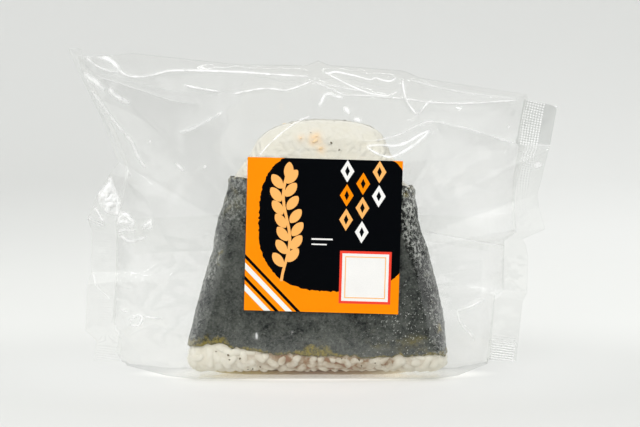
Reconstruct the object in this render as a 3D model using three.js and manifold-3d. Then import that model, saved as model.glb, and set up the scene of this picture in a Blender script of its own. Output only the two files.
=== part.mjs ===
// A triangular rice ball standing on its flat base, sealed in a clear film pack.
// The film is a tube that runs along X. It is crimped shut at both ends and joined
// along its back by a flat fin. A square label is stuck on the front, over the rice.
// Millimetres. +Z is up, the label faces -Y, and the origin is the middle of the
// base, on the surface that the pack stands on.

import * as THREE from "three";
import { mergeVertices } from "three/addons/utils/BufferGeometryUtils.js";
import Module from "manifold-3d";

const wasm = await Module();
wasm.setup();

// ---- driving dimensions -------------------------------------------------------

const riceHeight = 82.3;
const riceHalfBase = 42.4; // half the width that the sides would have at the base
const riceSideLean = 0.18; // the sides come in by this much for each mm of height
const riceStandsAt = 0.9; // x of the rice ball's middle at its base
const riceLean = 0.02; // its middle moves over by this much for each mm of height
const riceShoulders = [56, 75]; // heights between which the top narrows
const riceShoulderDrop = 0.25; // the share of the width that is lost there
const riceTopPower = 30; // how square the rounded top is
const riceBaseRound = 5.5;
const riceHalfThick = 16;
const riceEdgeRound = 8; // from the flat faces round to the sides
const heart = [0, 36]; // x, z of the point that the faces are laid out from

const filmGap = 0.5; // between the rice and the outside of the film
const sealHalfThick = 0.35;
const foldHalfThick = 0.9; // the film's own rounding where it folds along the top

const finMiddle = 44; // height of the fin's middle up the back
const finWidth = 12;
const finThick = 0.7;
const finFrom = -58;
const finTo = 57;
const finSteps = 40;
const finShares = [-0.5, -0.25, 0, 0.25, 0.5]; // across its width
const finSink = 0.6; // how far the fin's root reaches into the film

const labelWidth = 48.4;
const labelHeight = 48.2;
const labelThick = 0.4;
const labelMiddle = [3.1, 46.4]; // x, z
const labelTurn = THREE.MathUtils.degToRad(1.6); // stuck on slightly askew
const labelGap = 0.3; // clear of the film behind it
const labelTent = 0.55; // how steeply the film falls away around the label

const spokeStep = 4; // most distance between neighbouring spokes at the outline

// The pack's outline, anticlockwise as seen from the front, from the middle of the
// base: x and z of each point, how far it stands behind the middle plane, the width
// of the crimped strip there, and the half thickness where the film ends.
const corner = (x, z, { back = 0, strip = 0, half = sealHalfThick } = {}) => ({
  x,
  z,
  back,
  strip,
  half,
});
const baseHalf = riceHalfThick - riceBaseRound + filmGap;
const outline = [
  corner(0, 0, { half: baseHalf }),
  corner(38, 0, { half: baseHalf }),
  corner(46, 0.5, { half: 7.5 }),
  corner(56, 3.4, { half: 2 }),
  // the right seal, pleated to and fro from the bottom to the top
  corner(65.3, 4.3, { back: -2, strip: 9 }),
  corner(67.2, 23.8, { back: -2, strip: 9 }),
  corner(69.2, 25.6, { back: 4, strip: 8 }),
  corner(69.4, 38, { back: 5, strip: 8 }),
  corner(68.4, 41.6, { back: 2, strip: 7 }),
  corner(67.2, 43.6, { back: 0, strip: 6 }),
  corner(73.7, 47.4, { back: -6, strip: 9 }),
  corner(72, 54, { back: -3, strip: 8 }),
  corner(72.3, 57.6, { back: 5, strip: 8 }),
  corner(73.1, 62.6, { back: 1, strip: 9 }),
  corner(74.8, 72.4, { back: -4, strip: 9 }),
  corner(75.3, 74, { back: -3, strip: 9.5 }),
  corner(77.9, 86.2, { back: 1, strip: 9.5 }),
  // the top, folded and nearly taut
  corner(68, 90),
  corner(40, 93.8, { half: foldHalfThick }),
  corner(33.5, 94.8, { half: foldHalfThick }),
  corner(28.6, 97, { half: foldHalfThick }),
  corner(5, 98.7, { half: foldHalfThick }),
  corner(1.5, 100.2, { half: foldHalfThick }),
  corner(-2, 98.7, { half: foldHalfThick }),
  corner(-23.5, 98.9, { half: foldHalfThick }),
  corner(-57, 102.6, { half: foldHalfThick }),
  // the left seal, from the drawn out corner down
  corner(-78, 104.6, { strip: 4 }),
  corner(-76.5, 99.5, { back: 4, strip: 3 }),
  corner(-68.5, 82, { back: 8, strip: 3 }),
  corner(-62.8, 68, { back: 4, strip: 3 }),
  corner(-64.5, 65.3, { back: -5, strip: 5 }),
  corner(-69, 57.6, { back: -6, strip: 8 }),
  corner(-72.2, 50.6, { back: -3, strip: 9 }),
  corner(-71.8, 46, { back: 5, strip: 8.5 }),
  corner(-72.2, 32, { back: 6, strip: 8.5 }),
  corner(-72.6, 29, { back: -1, strip: 9 }),
  corner(-73.4, 14.4, { back: -2, strip: 9 }),
  corner(-70, 10.8, { back: -1, strip: 8 }),
  corner(-71, 4, { strip: 8 }),
  corner(-60, 2.8, { half: 2 }),
  corner(-47, 0.5, { half: 7.5 }),
  corner(-38, 0, { half: baseHalf }),
];

// Main creases that run from the rice out to the outline: the side that they are on,
// the outline's x and z that they point at, how far they stand out, and their breadth
// in degrees seen from the heart.
const creases = [
  { side: "front", at: [-77, 101], out: 2.6, breadth: 2.2 },
  { side: "front", at: [-70, 86], out: 2.2, breadth: 2.6 },
  { side: "front", at: [-50, 101], out: -2.4, breadth: 6 },
  { side: "front", at: [-20, 99], out: -2, breadth: 7 },
  { side: "front", at: [1.5, 100], out: 2.2, breadth: 3.5 },
  { side: "front", at: [29, 97], out: 2, breadth: 3 },
  { side: "front", at: [52, 91], out: -2.2, breadth: 6 },
  { side: "front", at: [75, 74], out: 2, breadth: 3 },
  { side: "front", at: [70, 41], out: 1.8, breadth: 4 },
  { side: "front", at: [63, 26], out: -1.5, breadth: 4 },
  { side: "front", at: [-64, 66], out: 2.4, breadth: 3 },
  { side: "front", at: [-65, 34], out: 2, breadth: 4 },
  { side: "back", at: [-74, 96], out: 2.4, breadth: 3 },
  { side: "back", at: [-40, 101], out: -2.2, breadth: 7 },
  { side: "back", at: [10, 98], out: 2, breadth: 4 },
  { side: "back", at: [60, 90], out: -2, breadth: 6 },
  { side: "back", at: [74, 64], out: 2, breadth: 3.5 },
];

// ---- the rice ball's form -----------------------------------------------------

// Half the rice ball's width at a height.
function riceHalfWidth(z) {
  if (z <= 0 || z >= riceHeight) return 0;
  const side = riceHalfBase - riceSideLean * z;
  const shoulder = 1 - riceShoulderDrop * THREE.MathUtils.smoothstep(z, ...riceShoulders);
  const top = Math.sqrt(1 - (z / riceHeight) ** riceTopPower);
  const rise = Math.min(z, riceBaseRound);
  const toe = riceBaseRound - Math.sqrt(riceBaseRound ** 2 - (riceBaseRound - rise) ** 2);
  return side * shoulder * top - toe;
}

// How far the rice reaches from the heart along a direction in the front view.
function riceReach(dx, dz) {
  let inside = 0;
  let outside = 120;
  for (let i = 0; i < 40; i++) {
    const middle = (inside + outside) / 2;
    const z = heart[1] + dz * middle;
    const over = heart[0] + dx * middle - (riceStandsAt + riceLean * z);
    if (Math.abs(over) < riceHalfWidth(z)) inside = middle;
    else outside = middle;
  }
  return inside;
}

// ---- the film over it ---------------------------------------------------------

// The half thickness that the film needs to carry the flat label.
function labelStand(x, z) {
  const [mx, mz] = labelMiddle;
  const across = Math.abs((x - mx) * Math.cos(labelTurn) - (z - mz) * Math.sin(labelTurn));
  const up = Math.abs((x - mx) * Math.sin(labelTurn) + (z - mz) * Math.cos(labelTurn));
  const beyond = Math.hypot(
    Math.max(0, across - labelWidth / 2),
    Math.max(0, up - labelHeight / 2),
  );
  return riceHalfThick + filmGap - labelTent * beyond;
}

// How far the creases of one side stand out, on a spoke, at a share of its free film.
function creaseStand(side, spoke, share) {
  let out = 0;
  for (const crease of creases) {
    if (crease.side !== side) continue;
    const towards = Math.atan2(crease.at[1] - heart[1], crease.at[0] - heart[0]);
    const apart = THREE.MathUtils.radToDeg(
      Math.atan2(Math.sin(spoke.angle - towards), Math.cos(spoke.angle - towards)),
    );
    out += crease.out * Math.exp(-((apart / crease.breadth) ** 2));
  }
  return out * Math.sin(Math.PI * share) * spoke.freedom;
}

// A spoke runs from the heart to a point of the outline. Over the rice the film is
// flat, then it follows the rounded edge, and from there it is drawn straight to
// the seal or fold. A crimped strip ends it on the left and on the right.
function makeSpoke(end) {
  const dx = end.x - heart[0];
  const dz = end.z - heart[1];
  const reach = Math.hypot(dx, dz);
  const direction = [dx / reach, dz / reach];
  const sink = Math.max(0, -direction[1]);
  const round = riceEdgeRound + (riceBaseRound - riceEdgeRound) * sink ** 2 + filmGap;
  const rice = Math.min(riceReach(...direction) + filmGap, reach - end.strip);
  const arcMiddle = [rice - round, riceHalfThick + filmGap - round];
  const filmEnd = reach - end.strip;
  const over = [filmEnd - arcMiddle[0], end.half - arcMiddle[1]];
  const away = Math.max(Math.hypot(...over), round);
  const leave = Math.atan2(over[1], over[0]) + Math.acos(Math.min(1, round / away));
  const touch = [
    arcMiddle[0] + round * Math.cos(leave),
    arcMiddle[1] + round * Math.sin(leave),
  ];
  return {
    end,
    direction,
    reach,
    filmEnd,
    arcMiddle,
    round,
    leave,
    touch,
    angle: Math.atan2(dz, dx),
    freedom: Math.min(1, Math.max(0, (filmEnd - touch[0]) / 20)),
  };
}

// The points of a spoke from just off the heart to the outline, as the distance from
// the heart, the half thickness, how far behind the middle plane, and the share of
// the free film that is passed.
const faceShares = [0.3, 0.58, 0.82, 1];
const arcShares = [0.35, 0.7, 1];
const freeShares = [0.2, 0.42, 0.65, 0.85, 1];
const stripShares = [0.5, 1];

function spokePoints(spoke) {
  const { arcMiddle, round, leave, touch, filmEnd, reach, end } = spoke;
  const points = [];
  for (const share of faceShares)
    points.push({ at: arcMiddle[0] * share, half: arcMiddle[1] + round, back: 0, share: 0 });
  for (const share of arcShares) {
    const turn = Math.PI / 2 + (leave - Math.PI / 2) * share;
    points.push({
      at: arcMiddle[0] + round * Math.cos(turn),
      half: arcMiddle[1] + round * Math.sin(turn),
      back: 0,
      share: 0,
    });
  }
  const rootBack = end.back * (end.strip > 0 ? 0.4 : 1);
  for (const share of freeShares)
    points.push({
      at: touch[0] + (filmEnd - touch[0]) * share,
      half: touch[1] + (end.half - touch[1]) * share,
      back: rootBack * share ** 2,
      share,
    });
  for (const share of stripShares)
    points.push({
      at: filmEnd + Math.max(end.strip, 0.4) * share,
      half: end.half,
      back: rootBack + (end.back - rootBack) * share,
      share: 1,
    });
  points[points.length - 1].at = Math.max(reach, filmEnd + 0.4);
  return points;
}

// The spokes all round the outline, at its corners and between them.
function makeSpokes() {
  const spokes = [];
  outline.forEach((from, i) => {
    const to = outline[(i + 1) % outline.length];
    const steps = Math.ceil(Math.hypot(to.x - from.x, to.z - from.z) / spokeStep);
    for (let step = 0; step < steps; step++) {
      const share = step / steps;
      const between = {};
      for (const key of Object.keys(from))
        between[key] = from[key] + (to[key] - from[key]) * share;
      spokes.push(makeSpoke(between));
    }
  });
  return spokes;
}

// One face of the pack as rows of points, from the heart outwards.
function faceRows(spokes, side) {
  const sign = side === "front" ? -1 : 1;
  return spokes.map((spoke) =>
    spokePoints(spoke).map((point) => {
      const x = heart[0] + spoke.direction[0] * point.at;
      const z = Math.max(0, heart[1] + spoke.direction[1] * point.at);
      let half = point.half;
      if (point.share > 0 && point.share < 1) half += creaseStand(side, spoke, point.share);
      if (side === "front" && point.share < 1) half = Math.max(half, labelStand(x, z));
      half = Math.min(half, riceHalfThick + filmGap);
      return new THREE.Vector3(x, point.back + sign * half, z);
    }),
  );
}

// A skin that is laid triangle by triangle.
function newSkin() {
  const positions = [];
  const triangle = (...corners) => corners.forEach((c) => positions.push(c.x, c.y, c.z));
  const quad = (a, b, c, d) => {
    triangle(a, b, c);
    triangle(a, c, d);
  };
  const geometry = () =>
    new THREE.BufferGeometry().setAttribute(
      "position",
      new THREE.Float32BufferAttribute(positions, 3),
    );
  return { triangle, quad, geometry };
}

// The closed skin round both faces, joined along the outline.
function packGeometry() {
  const spokes = makeSpokes();
  const front = faceRows(spokes, "front");
  const back = faceRows(spokes, "back");
  const { triangle, quad, geometry } = newSkin();
  const middle = riceHalfThick + filmGap;
  const frontHeart = new THREE.Vector3(heart[0], -middle, heart[1]);
  const backHeart = new THREE.Vector3(heart[0], middle, heart[1]);
  spokes.forEach((_, i) => {
    const j = (i + 1) % spokes.length;
    triangle(frontHeart, front[i][0], front[j][0]);
    triangle(backHeart, back[j][0], back[i][0]);
    for (let k = 0; k + 1 < front[i].length; k++) {
      quad(front[i][k], front[i][k + 1], front[j][k + 1], front[j][k]);
      quad(back[j][k], back[j][k + 1], back[i][k + 1], back[i][k]);
    }
    const rim = front[i].length - 1;
    quad(front[i][rim], back[i][rim], back[j][rim], front[j][rim]);
  });
  return geometry();
}

// ---- solids -------------------------------------------------------------------

// A closed geometry as a solid for joining.
function solidOf(geometry) {
  const bare = geometry.index ? geometry.toNonIndexed() : geometry.clone();
  bare.deleteAttribute("normal");
  bare.deleteAttribute("uv");
  const merged = mergeVertices(bare, 1e-3);
  return new wasm.Manifold(
    new wasm.Mesh({
      numProp: 3,
      vertProperties: merged.attributes.position.array,
      triVerts: new Uint32Array(merged.index.array),
    }),
  );
}

function geometryOf(solid) {
  const mesh = solid.getMesh();
  const geometry = new THREE.BufferGeometry();
  geometry.setAttribute("position", new THREE.BufferAttribute(mesh.vertProperties, 3));
  geometry.setIndex(new THREE.BufferAttribute(mesh.triVerts, 1));
  geometry.computeVertexNormals();
  return geometry;
}

// How far behind the middle plane the film's back is, at a point in the front view.
function backAt(pack, x, z) {
  const beam = new THREE.BoxGeometry(0.2, 60, 0.2).translate(x, 30, z);
  return pack.intersect(solidOf(beam)).boundingBox().max[1];
}

// The fin: both edges of the film, welded face to face and laid flat on the back. Each
// ring round it goes from its sunk lower root over its outer face to its upper root.
function finGeometry(pack) {
  const rings = [];
  for (let i = 0; i <= finSteps; i++) {
    const x = finFrom + ((finTo - finFrom) * i) / finSteps;
    const backs = finShares.map((share) => backAt(pack, x, finMiddle + share * finWidth));
    const face = finShares.map((share, k) => {
      const near = Math.max(...backs.slice(Math.max(0, k - 1), k + 2));
      return new THREE.Vector3(x, near + finThick, finMiddle + share * finWidth);
    });
    const root = Math.min(...backs) - finSink;
    const low = new THREE.Vector3(x, root, face[0].z);
    const high = new THREE.Vector3(x, root, face[face.length - 1].z);
    rings.push([low, ...face, high]);
  }
  const skin = newSkin();
  const last = rings[0].length - 1;
  for (let i = 0; i < finSteps; i++)
    for (let k = 0; k <= last; k++) {
      const next = (k + 1) % (last + 1);
      skin.quad(rings[i][k], rings[i][next], rings[i + 1][next], rings[i + 1][k]);
    }
  for (let k = 1; k < last; k++) {
    skin.triangle(rings[0][0], rings[0][k + 1], rings[0][k]);
    skin.triangle(rings[finSteps][0], rings[finSteps][k], rings[finSteps][k + 1]);
  }
  return skin.geometry();
}

// ---- the part -----------------------------------------------------------------

const film = new THREE.MeshStandardMaterial({ color: 0xeef0ec, roughness: 0.1, metalness: 0 });
const print = new THREE.MeshStandardMaterial({ color: 0xff9612, roughness: 0.35, metalness: 0 });

const packSolid = solidOf(packGeometry());
const finSolid = solidOf(finGeometry(packSolid));
const pack = new THREE.Mesh(geometryOf(packSolid.add(finSolid)), film);
pack.name = "film_pack";

const label = new THREE.Mesh(new THREE.BoxGeometry(labelWidth, labelThick, labelHeight), print);
label.name = "label";
label.position.set(
  labelMiddle[0],
  -(riceHalfThick + filmGap + labelGap + labelThick / 2),
  labelMiddle[1],
);
label.rotation.y = labelTurn;

const onigiri = new THREE.Group();
onigiri.add(pack, label);

export default onigiri;
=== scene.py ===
import itertools
import math

import bpy
import numpy as np
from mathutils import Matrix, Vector
from mathutils.geometry import delaunay_2d_cdt


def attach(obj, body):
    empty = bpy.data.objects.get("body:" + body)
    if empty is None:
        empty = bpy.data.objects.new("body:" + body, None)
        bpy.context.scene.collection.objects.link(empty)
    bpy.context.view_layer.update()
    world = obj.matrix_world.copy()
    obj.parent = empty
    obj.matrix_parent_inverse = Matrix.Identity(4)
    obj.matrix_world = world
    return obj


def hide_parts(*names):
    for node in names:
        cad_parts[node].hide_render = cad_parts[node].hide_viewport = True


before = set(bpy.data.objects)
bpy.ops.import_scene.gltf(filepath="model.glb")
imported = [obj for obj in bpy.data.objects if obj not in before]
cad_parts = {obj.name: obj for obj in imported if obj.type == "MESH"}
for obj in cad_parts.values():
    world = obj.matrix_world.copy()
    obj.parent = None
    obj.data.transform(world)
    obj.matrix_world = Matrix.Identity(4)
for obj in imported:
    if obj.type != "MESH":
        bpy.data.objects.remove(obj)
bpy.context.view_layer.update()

# Forms are worked out in millimetres, and addPiece turns them into metres.
metresPerMm = 0.001


# ---- small helpers ----

def addPiece(name, points, faces, material=None, smooth=True):
    mesh = bpy.data.meshes.new(name)
    places = np.asarray(points, float) * metresPerMm
    mesh.from_pydata(places.tolist(), [], [list(map(int, f)) for f in faces])
    mesh.validate()
    mesh.update()
    if smooth:
        mesh.shade_smooth()
    if material:
        mesh.materials.append(material)
    piece = bpy.data.objects.new(name, mesh)
    bpy.context.scene.collection.objects.link(piece)
    return piece


def closedSheet(name, front, rear, material, ring=False):
    # two grids of points, rows by columns, joined along their edges; a ring closes the rows
    rows, columns = front.shape[:2]
    size = rows * columns
    index = np.arange(size).reshape(rows, columns)
    if ring:
        index = np.hstack([index, index[:, :1]])
        loops = [index[0], index[-1][::-1]]
    else:
        loops = [np.array([*index[0], *index[1:, -1], *index[-1, -2::-1], *index[-2::-1, 0]])]
    a, b, c, d = index[:-1, :-1], index[:-1, 1:], index[1:, 1:], index[1:, :-1]
    faces = [np.stack([a, b, c, d], 2).reshape(-1, 4), np.stack([a, d, c, b], 2).reshape(-1, 4) + size]
    faces += [np.stack([p[1:], p[:-1], p[:-1] + size, p[1:] + size], 1) for p in loops]
    faces = np.vstack(faces)
    # outward when the first grid lies outside
    r, k = rows // 2, columns // 2
    across, upward = front[r, k + 1] - front[r, k], front[r + 1, k] - front[r, k]
    if np.cross(across, upward) @ (front[r, k] - rear[r, k]) < 0:
        faces = faces[:, ::-1]
    return addPiece(name, np.vstack([front.reshape(-1, 3), rear.reshape(-1, 3)]), faces, material)


def addValues(piece, label, values):
    # a value or a direction for each point, which a material can read
    values = np.asarray(values, np.float32)
    kind, field = ("FLOAT", "value") if values.ndim == 1 else ("FLOAT_VECTOR", "vector")
    attribute = piece.data.attributes.new(label, kind, "POINT")
    attribute.data.foreach_set(field, values.ravel())


def addSheetValues(piece, label, grid):
    addValues(piece, label, np.tile(grid.ravel(), 2))  # the same on both sides of a sheet


def unit(v):
    return v / np.linalg.norm(v)


def units(v):
    return v / np.maximum(np.linalg.norm(v, axis=-1), 1e-9)[..., None]


def latticeNoise(x, y, cell, seed):
    # smooth noise from -1 to 1 that changes over about one cell
    draws = np.random.default_rng(seed).uniform(-1, 1, (64, 64))
    gx, gy = np.asarray(x, float) / cell + 500.3, np.asarray(y, float) / cell + 500.7
    ix, iy = np.floor(gx).astype(int), np.floor(gy).astype(int)
    fx, fy = gx - ix, gy - iy
    fx, fy = fx * fx * (3 - 2 * fx), fy * fy * (3 - 2 * fy)
    a, b = draws[ix % 64, iy % 64], draws[(ix + 1) % 64, iy % 64]
    c, d = draws[ix % 64, (iy + 1) % 64], draws[(ix + 1) % 64, (iy + 1) % 64]
    return (a * (1 - fx) + b * fx) * (1 - fy) + (c * (1 - fx) + d * fx) * fy


def layeredNoise(x, y, cell, seed, layers=3):
    total, size = 0.0, 1.0
    for k in range(layers):
        total = total + latticeNoise(x, y, cell / 2**k, seed + k) * size
        size *= 0.5
    return total


def lengthsAlong(points):
    return np.concatenate([[0], np.cumsum(np.linalg.norm(np.diff(points, axis=0), axis=1))])


def pointsAt(at, lengths, points):
    return np.stack([np.interp(at, lengths, column) for column in points.T], 1)


def resampled(points, step):
    # points along a polyline, a step apart, ends included
    points = np.asarray(points, float)
    lengths = lengthsAlong(points)
    count = max(2, int(round(lengths[-1] / step)) + 1)
    return pointsAt(np.linspace(0, lengths[-1], count), lengths, points)


def curved(points, step):
    # a smooth line through the points, then evenly resampled
    p = np.asarray(points, float)
    if len(p) < 3:
        return resampled(p, step)
    padded = np.vstack([2 * p[0] - p[1], p, 2 * p[-1] - p[-2]])
    out = []
    for a, b, c, d in zip(padded, padded[1:], padded[2:], padded[3:]):
        for t in np.linspace(0, 1, 8, endpoint=False):
            out.append(0.5 * (2 * b + (c - a) * t + (2 * a - 5 * b + 4 * c - d) * t**2
                              + (3 * b - a - 3 * c + d) * t**3))
    out.append(p[-1])
    return resampled(np.array(out), step)


def smoothed(rows, count):
    # a moving average down each column
    padded = np.pad(rows, ((count // 2, count // 2), (0, 0)), mode="edge")
    kernel = np.ones(count) / count
    return np.stack([np.convolve(column, kernel, "valid") for column in padded.T], 1)


def insidePolygon(x, z, loop):
    inside = np.zeros(x.shape, bool)
    for (x1, z1), (x2, z2) in zip(loop, np.roll(loop, -1, axis=0)):
        if z1 != z2:
            inside ^= ((z1 > z) != (z2 > z)) & (x < (x2 - x1) * (z - z1) / (z2 - z1) + x1)
    return inside


def awayFrom(x, z, line):
    # rough distance to a line, from its evenly spaced points
    best = np.full(x.shape, 1e9)
    for k in range(0, len(line), 40):
        part = line[k : k + 40]
        best = np.minimum(best, np.hypot(x[..., None] - part[:, 0], z[..., None] - part[:, 1]).min(-1))
    return best


def boxed(x, z, line, spare):
    # which points lie in a line's own box, widened by spare
    (lowX, lowZ), (highX, highZ) = line.min(0) - spare, line.max(0) + spare
    return np.nonzero((x > lowX) & (x < highX) & (z > lowZ) & (z < highZ))[0]


def spotAt(x, z, spotX, spotZ, across, up):
    # a soft oval spot, 1 at its middle
    return np.exp(-(((x - spotX) / across) ** 2) - ((z - spotZ) / up) ** 2)


# ---- the pack's form ----

packSizes = {
    "heart": (0.0, 36.0),  # x, z of the point that the faces are laid out from
    "riceHeight": 82.3,
    "riceHalfBase": 42.4,
    "riceSideLean": 0.18,
    "riceStandsAt": 0.9,
    "riceLean": 0.02,
    "riceShoulders": (56, 75),
    "riceShoulderDrop": 0.25,
    "riceTopPower": 30,
    "riceBaseRound": 5.5,
    "riceHalfThick": 16.0,
    "riceEdgeRound": 8.0,
    "filmGap": 0.5,
}

# The outline, anticlockwise from the middle of the base: x, z, how far behind the
# middle plane, the width of the crimped strip, and half the thickness at the edge.
packOutline = [
    (0, 0, 0, 0, 11), (38, 0, 0, 0, 11), (46, 0.5, 0, 0, 7.5), (56, 3.4, 0, 0, 2),
    # right seal, from the bottom up
    (65.3, 4.3, -2, 9, 0.12), (67.2, 23.8, -2, 9, 0.12), (69.2, 25.6, 4, 8, 0.12),
    (69.4, 38, 5, 8, 0.12), (68.4, 41.6, 2, 7, 0.12), (67.2, 43.6, 0, 6, 0.12),
    (73.7, 47.4, -6, 9, 0.12), (72, 54, -3, 8, 0.12), (72.3, 57.6, 5, 8, 0.12),
    (73.1, 62.6, 1, 9, 0.12), (74.8, 72.4, -4, 9, 0.12), (75.3, 74, -3, 9.5, 0.12),
    (77.9, 86.2, 1, 9.5, 0.12),
    # folded top
    (68, 90, 0, 0, 0.12), (40, 93.8, 0, 0, 0.9), (33.5, 94.8, 0, 0, 0.9),
    (28.6, 97, 0, 0, 0.9), (5, 98.7, 0, 0, 0.9), (1.5, 100.2, 0, 0, 0.9),
    (-2, 98.7, 0, 0, 0.9), (-23.5, 98.9, 0, 0, 0.9), (-57, 102.6, 0, 0, 0.9),
    # left seal, from the drawn out corner down
    (-78, 104.6, 0, 4, 0.12), (-76.5, 99.5, 4, 3, 0.12), (-68.5, 82, 8, 3, 0.12),
    (-62.8, 68, 4, 3, 0.12), (-64.5, 65.3, -5, 5, 0.12), (-69, 57.6, -6, 8, 0.12),
    (-72.2, 50.6, -3, 9, 0.12), (-71.8, 46, 5, 8.5, 0.12), (-72.2, 32, 6, 8.5, 0.12),
    (-72.6, 29, -1, 9, 0.12), (-73.4, 14.4, -2, 9, 0.12), (-70, 10.8, -1, 8, 0.12),
    (-71, 4, 0, 8, 0.12), (-60, 2.8, 0, 0, 2), (-47, 0.5, 0, 0, 7.5), (-38, 0, 0, 0, 11),
]
outlineTable = np.array(packOutline, float)


def riceHalfWidth(z):
    s = packSizes
    z = np.asarray(z, float)
    inside = np.clip(z, 0, s["riceHeight"])
    side = s["riceHalfBase"] - s["riceSideLean"] * inside
    low, high = s["riceShoulders"]
    passed = np.clip((inside - low) / (high - low), 0, 1)
    shoulder = 1 - s["riceShoulderDrop"] * passed**2 * (3 - 2 * passed)
    shoulder = shoulder * np.sqrt(1 - (inside / s["riceHeight"]) ** s["riceTopPower"])
    rise = np.minimum(inside, s["riceBaseRound"])
    toe = s["riceBaseRound"] - np.sqrt(s["riceBaseRound"] ** 2 - (s["riceBaseRound"] - rise) ** 2)
    return np.where((z <= 0) | (z >= s["riceHeight"]), 0, side * shoulder - toe)


def riceMiddle(z):
    return packSizes["riceStandsAt"] + packSizes["riceLean"] * np.asarray(z, float)


def riceReach(dx, dz):
    # how far the rice reaches from the heart along directions in the front view
    inside, outside = np.zeros_like(dx), np.full_like(dx, 120.0)
    for _ in range(30):
        middle = (inside + outside) / 2
        z = packSizes["heart"][1] + dz * middle
        within = np.abs(packSizes["heart"][0] + dx * middle - riceMiddle(z)) < riceHalfWidth(z)
        inside, outside = np.where(within, middle, inside), np.where(within, outside, middle)
    return inside


cornerTurns = np.unwrap(np.arctan2(outlineTable[:, 1] - packSizes["heart"][1],
                                   outlineTable[:, 0] - packSizes["heart"][0]))


def outlineAlong(dx, dz):
    # where rays from the heart meet the outline: reach, back, strip, half
    turn = np.arctan2(dz, dx)
    turn = cornerTurns[0] + np.mod(turn - cornerTurns[0], 2 * math.pi)
    first = np.clip(np.searchsorted(cornerTurns, turn, side="right") - 1, 0, len(outlineTable) - 1)
    a, b = outlineTable[first], outlineTable[(first + 1) % len(outlineTable)]
    ax, az = a[:, 0] - packSizes["heart"][0], a[:, 1] - packSizes["heart"][1]
    ex, ez = b[:, 0] - a[:, 0], b[:, 1] - a[:, 1]
    share = np.clip(-(dx * az - dz * ax) / (dx * ez - dz * ex), 0, 1)
    reach = np.hypot(ax + ex * share, az + ez * share)
    back, strip, half = ((a[:, k] + (b[:, k] - a[:, k]) * share) for k in (2, 3, 4))
    return reach, back, strip, half


def fromHeart(x, z):
    # the directions and distances of points from the heart
    dx, dz = np.asarray(x, float) - packSizes["heart"][0], np.asarray(z, float) - packSizes["heart"][1]
    at = np.maximum(np.hypot(dx, dz), 1e-6)
    return dx / at, dz / at, at


def riceBend(dz):
    # the radius of the rice's edge, tighter toward the base
    s = packSizes
    return s["riceEdgeRound"] + (s["riceBaseRound"] - s["riceEdgeRound"]) * np.maximum(0, -dz) ** 2


def spokeForm(dx, dz):
    # the film's section along rays from the heart
    s = packSizes
    reach, back, strip, half = outlineAlong(dx, dz)
    bend = riceBend(dz) + s["filmGap"]
    filmEnd = reach - strip
    arcAt = np.minimum(riceReach(dx, dz) + s["filmGap"], filmEnd) - bend
    arcHalf = s["riceHalfThick"] + s["filmGap"] - bend
    over, drop = filmEnd - arcAt, half - arcHalf
    away = np.maximum(np.hypot(over, drop), bend)
    leave = np.arctan2(drop, over) + np.arccos(np.minimum(1, bend / away))
    return {
        "back": back, "strip": strip, "half": half, "filmEnd": filmEnd,
        "bend": bend, "arcAt": arcAt, "arcHalf": arcHalf,
        "touchAt": arcAt + bend * np.cos(leave), "touchHalf": arcHalf + bend * np.sin(leave),
        "rootBack": back * np.where(strip > 0, 0.4, 1.0),
    }


def filmForm(x, z):
    # half thickness, how far behind the middle plane, and how loose the free film is
    dx, dz, at = fromHeart(x, z)
    f = spokeForm(dx, dz)
    onArc = f["arcHalf"] + np.sqrt(np.maximum(f["bend"] ** 2 - np.clip(at - f["arcAt"], 0, None) ** 2, 0))
    share = np.clip((at - f["touchAt"]) / np.maximum(f["filmEnd"] - f["touchAt"], 0.01), 0, 1)
    free = f["touchHalf"] + (f["half"] - f["touchHalf"]) * share
    flat = packSizes["riceHalfThick"] + packSizes["filmGap"]
    half = np.where(at <= f["arcAt"], flat, np.where(at < f["touchAt"], onArc, free))
    slack = np.clip((f["filmEnd"] - f["touchAt"]) / 20, 0, 1) * np.sin(math.pi * share)
    return half, f["rootBack"] * share**2, slack


# Where the viewer stands: what it aims at and how far off it is, in mm, and its rise in degrees.
viewSizes = {"aim": (2.1, 0.0, 51.8), "away": 650.0, "rise": 5.5, "lens": 114.0, "sensor": 36.0}


def ontoFront(x, z, inside=0.0):
    # places seen against the middle plane, moved along the line of sight onto the film's front
    v = viewSizes
    rise = math.radians(v["rise"])
    eye = np.array(v["aim"]) + v["away"] * np.array([0, -math.cos(rise), math.sin(rise)])
    x, z = np.atleast_1d(np.asarray(x, float)), np.atleast_1d(np.asarray(z, float))
    over, up = (x - v["aim"][0]) / v["away"], (z - v["aim"][2]) / v["away"]
    ray = np.stack([over, math.cos(rise) + up * math.sin(rise), up * math.cos(rise) - math.sin(rise)], -1)
    for _ in range(4):
        half, behind, _ = filmForm(x, z)
        along = (behind - (half - inside) - eye[1]) / ray[..., 1]
        x, z = eye[0] + ray[..., 0] * along, eye[2] + ray[..., 2] * along
    return x, z


# ---- shader nodes and groups ----

def addNode(tree, kind, values=None, **settings):
    # another node's output is linked, any other value is set
    node = tree.nodes.new(kind)
    for key, value in settings.items():
        setattr(node, key, value)
    for key, value in (values or {}).items():
        if isinstance(value, bpy.types.NodeSocket):
            tree.links.new(value, node.inputs[key])
        else:
            node.inputs[key].default_value = value
    return node


def addMath(tree, operation, *values, clamp=False):
    node = addNode(tree, "ShaderNodeMath", dict(enumerate(values)), operation=operation, use_clamp=clamp)
    return node.outputs[0]


def product(tree, first, *others):
    for other in others:
        first = addMath(tree, "MULTIPLY", first, other)
    return first


def total(tree, first, *others):
    for other in others:
        first = addMath(tree, "ADD", first, other)
    return first


def addMix(tree, factor, first, second):
    first, second = ((*v, 1) if isinstance(v, tuple) else v for v in (first, second))
    return addNode(tree, "ShaderNodeMix", {0: factor, 6: first, 7: second}, data_type="RGBA").outputs[2]


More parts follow.
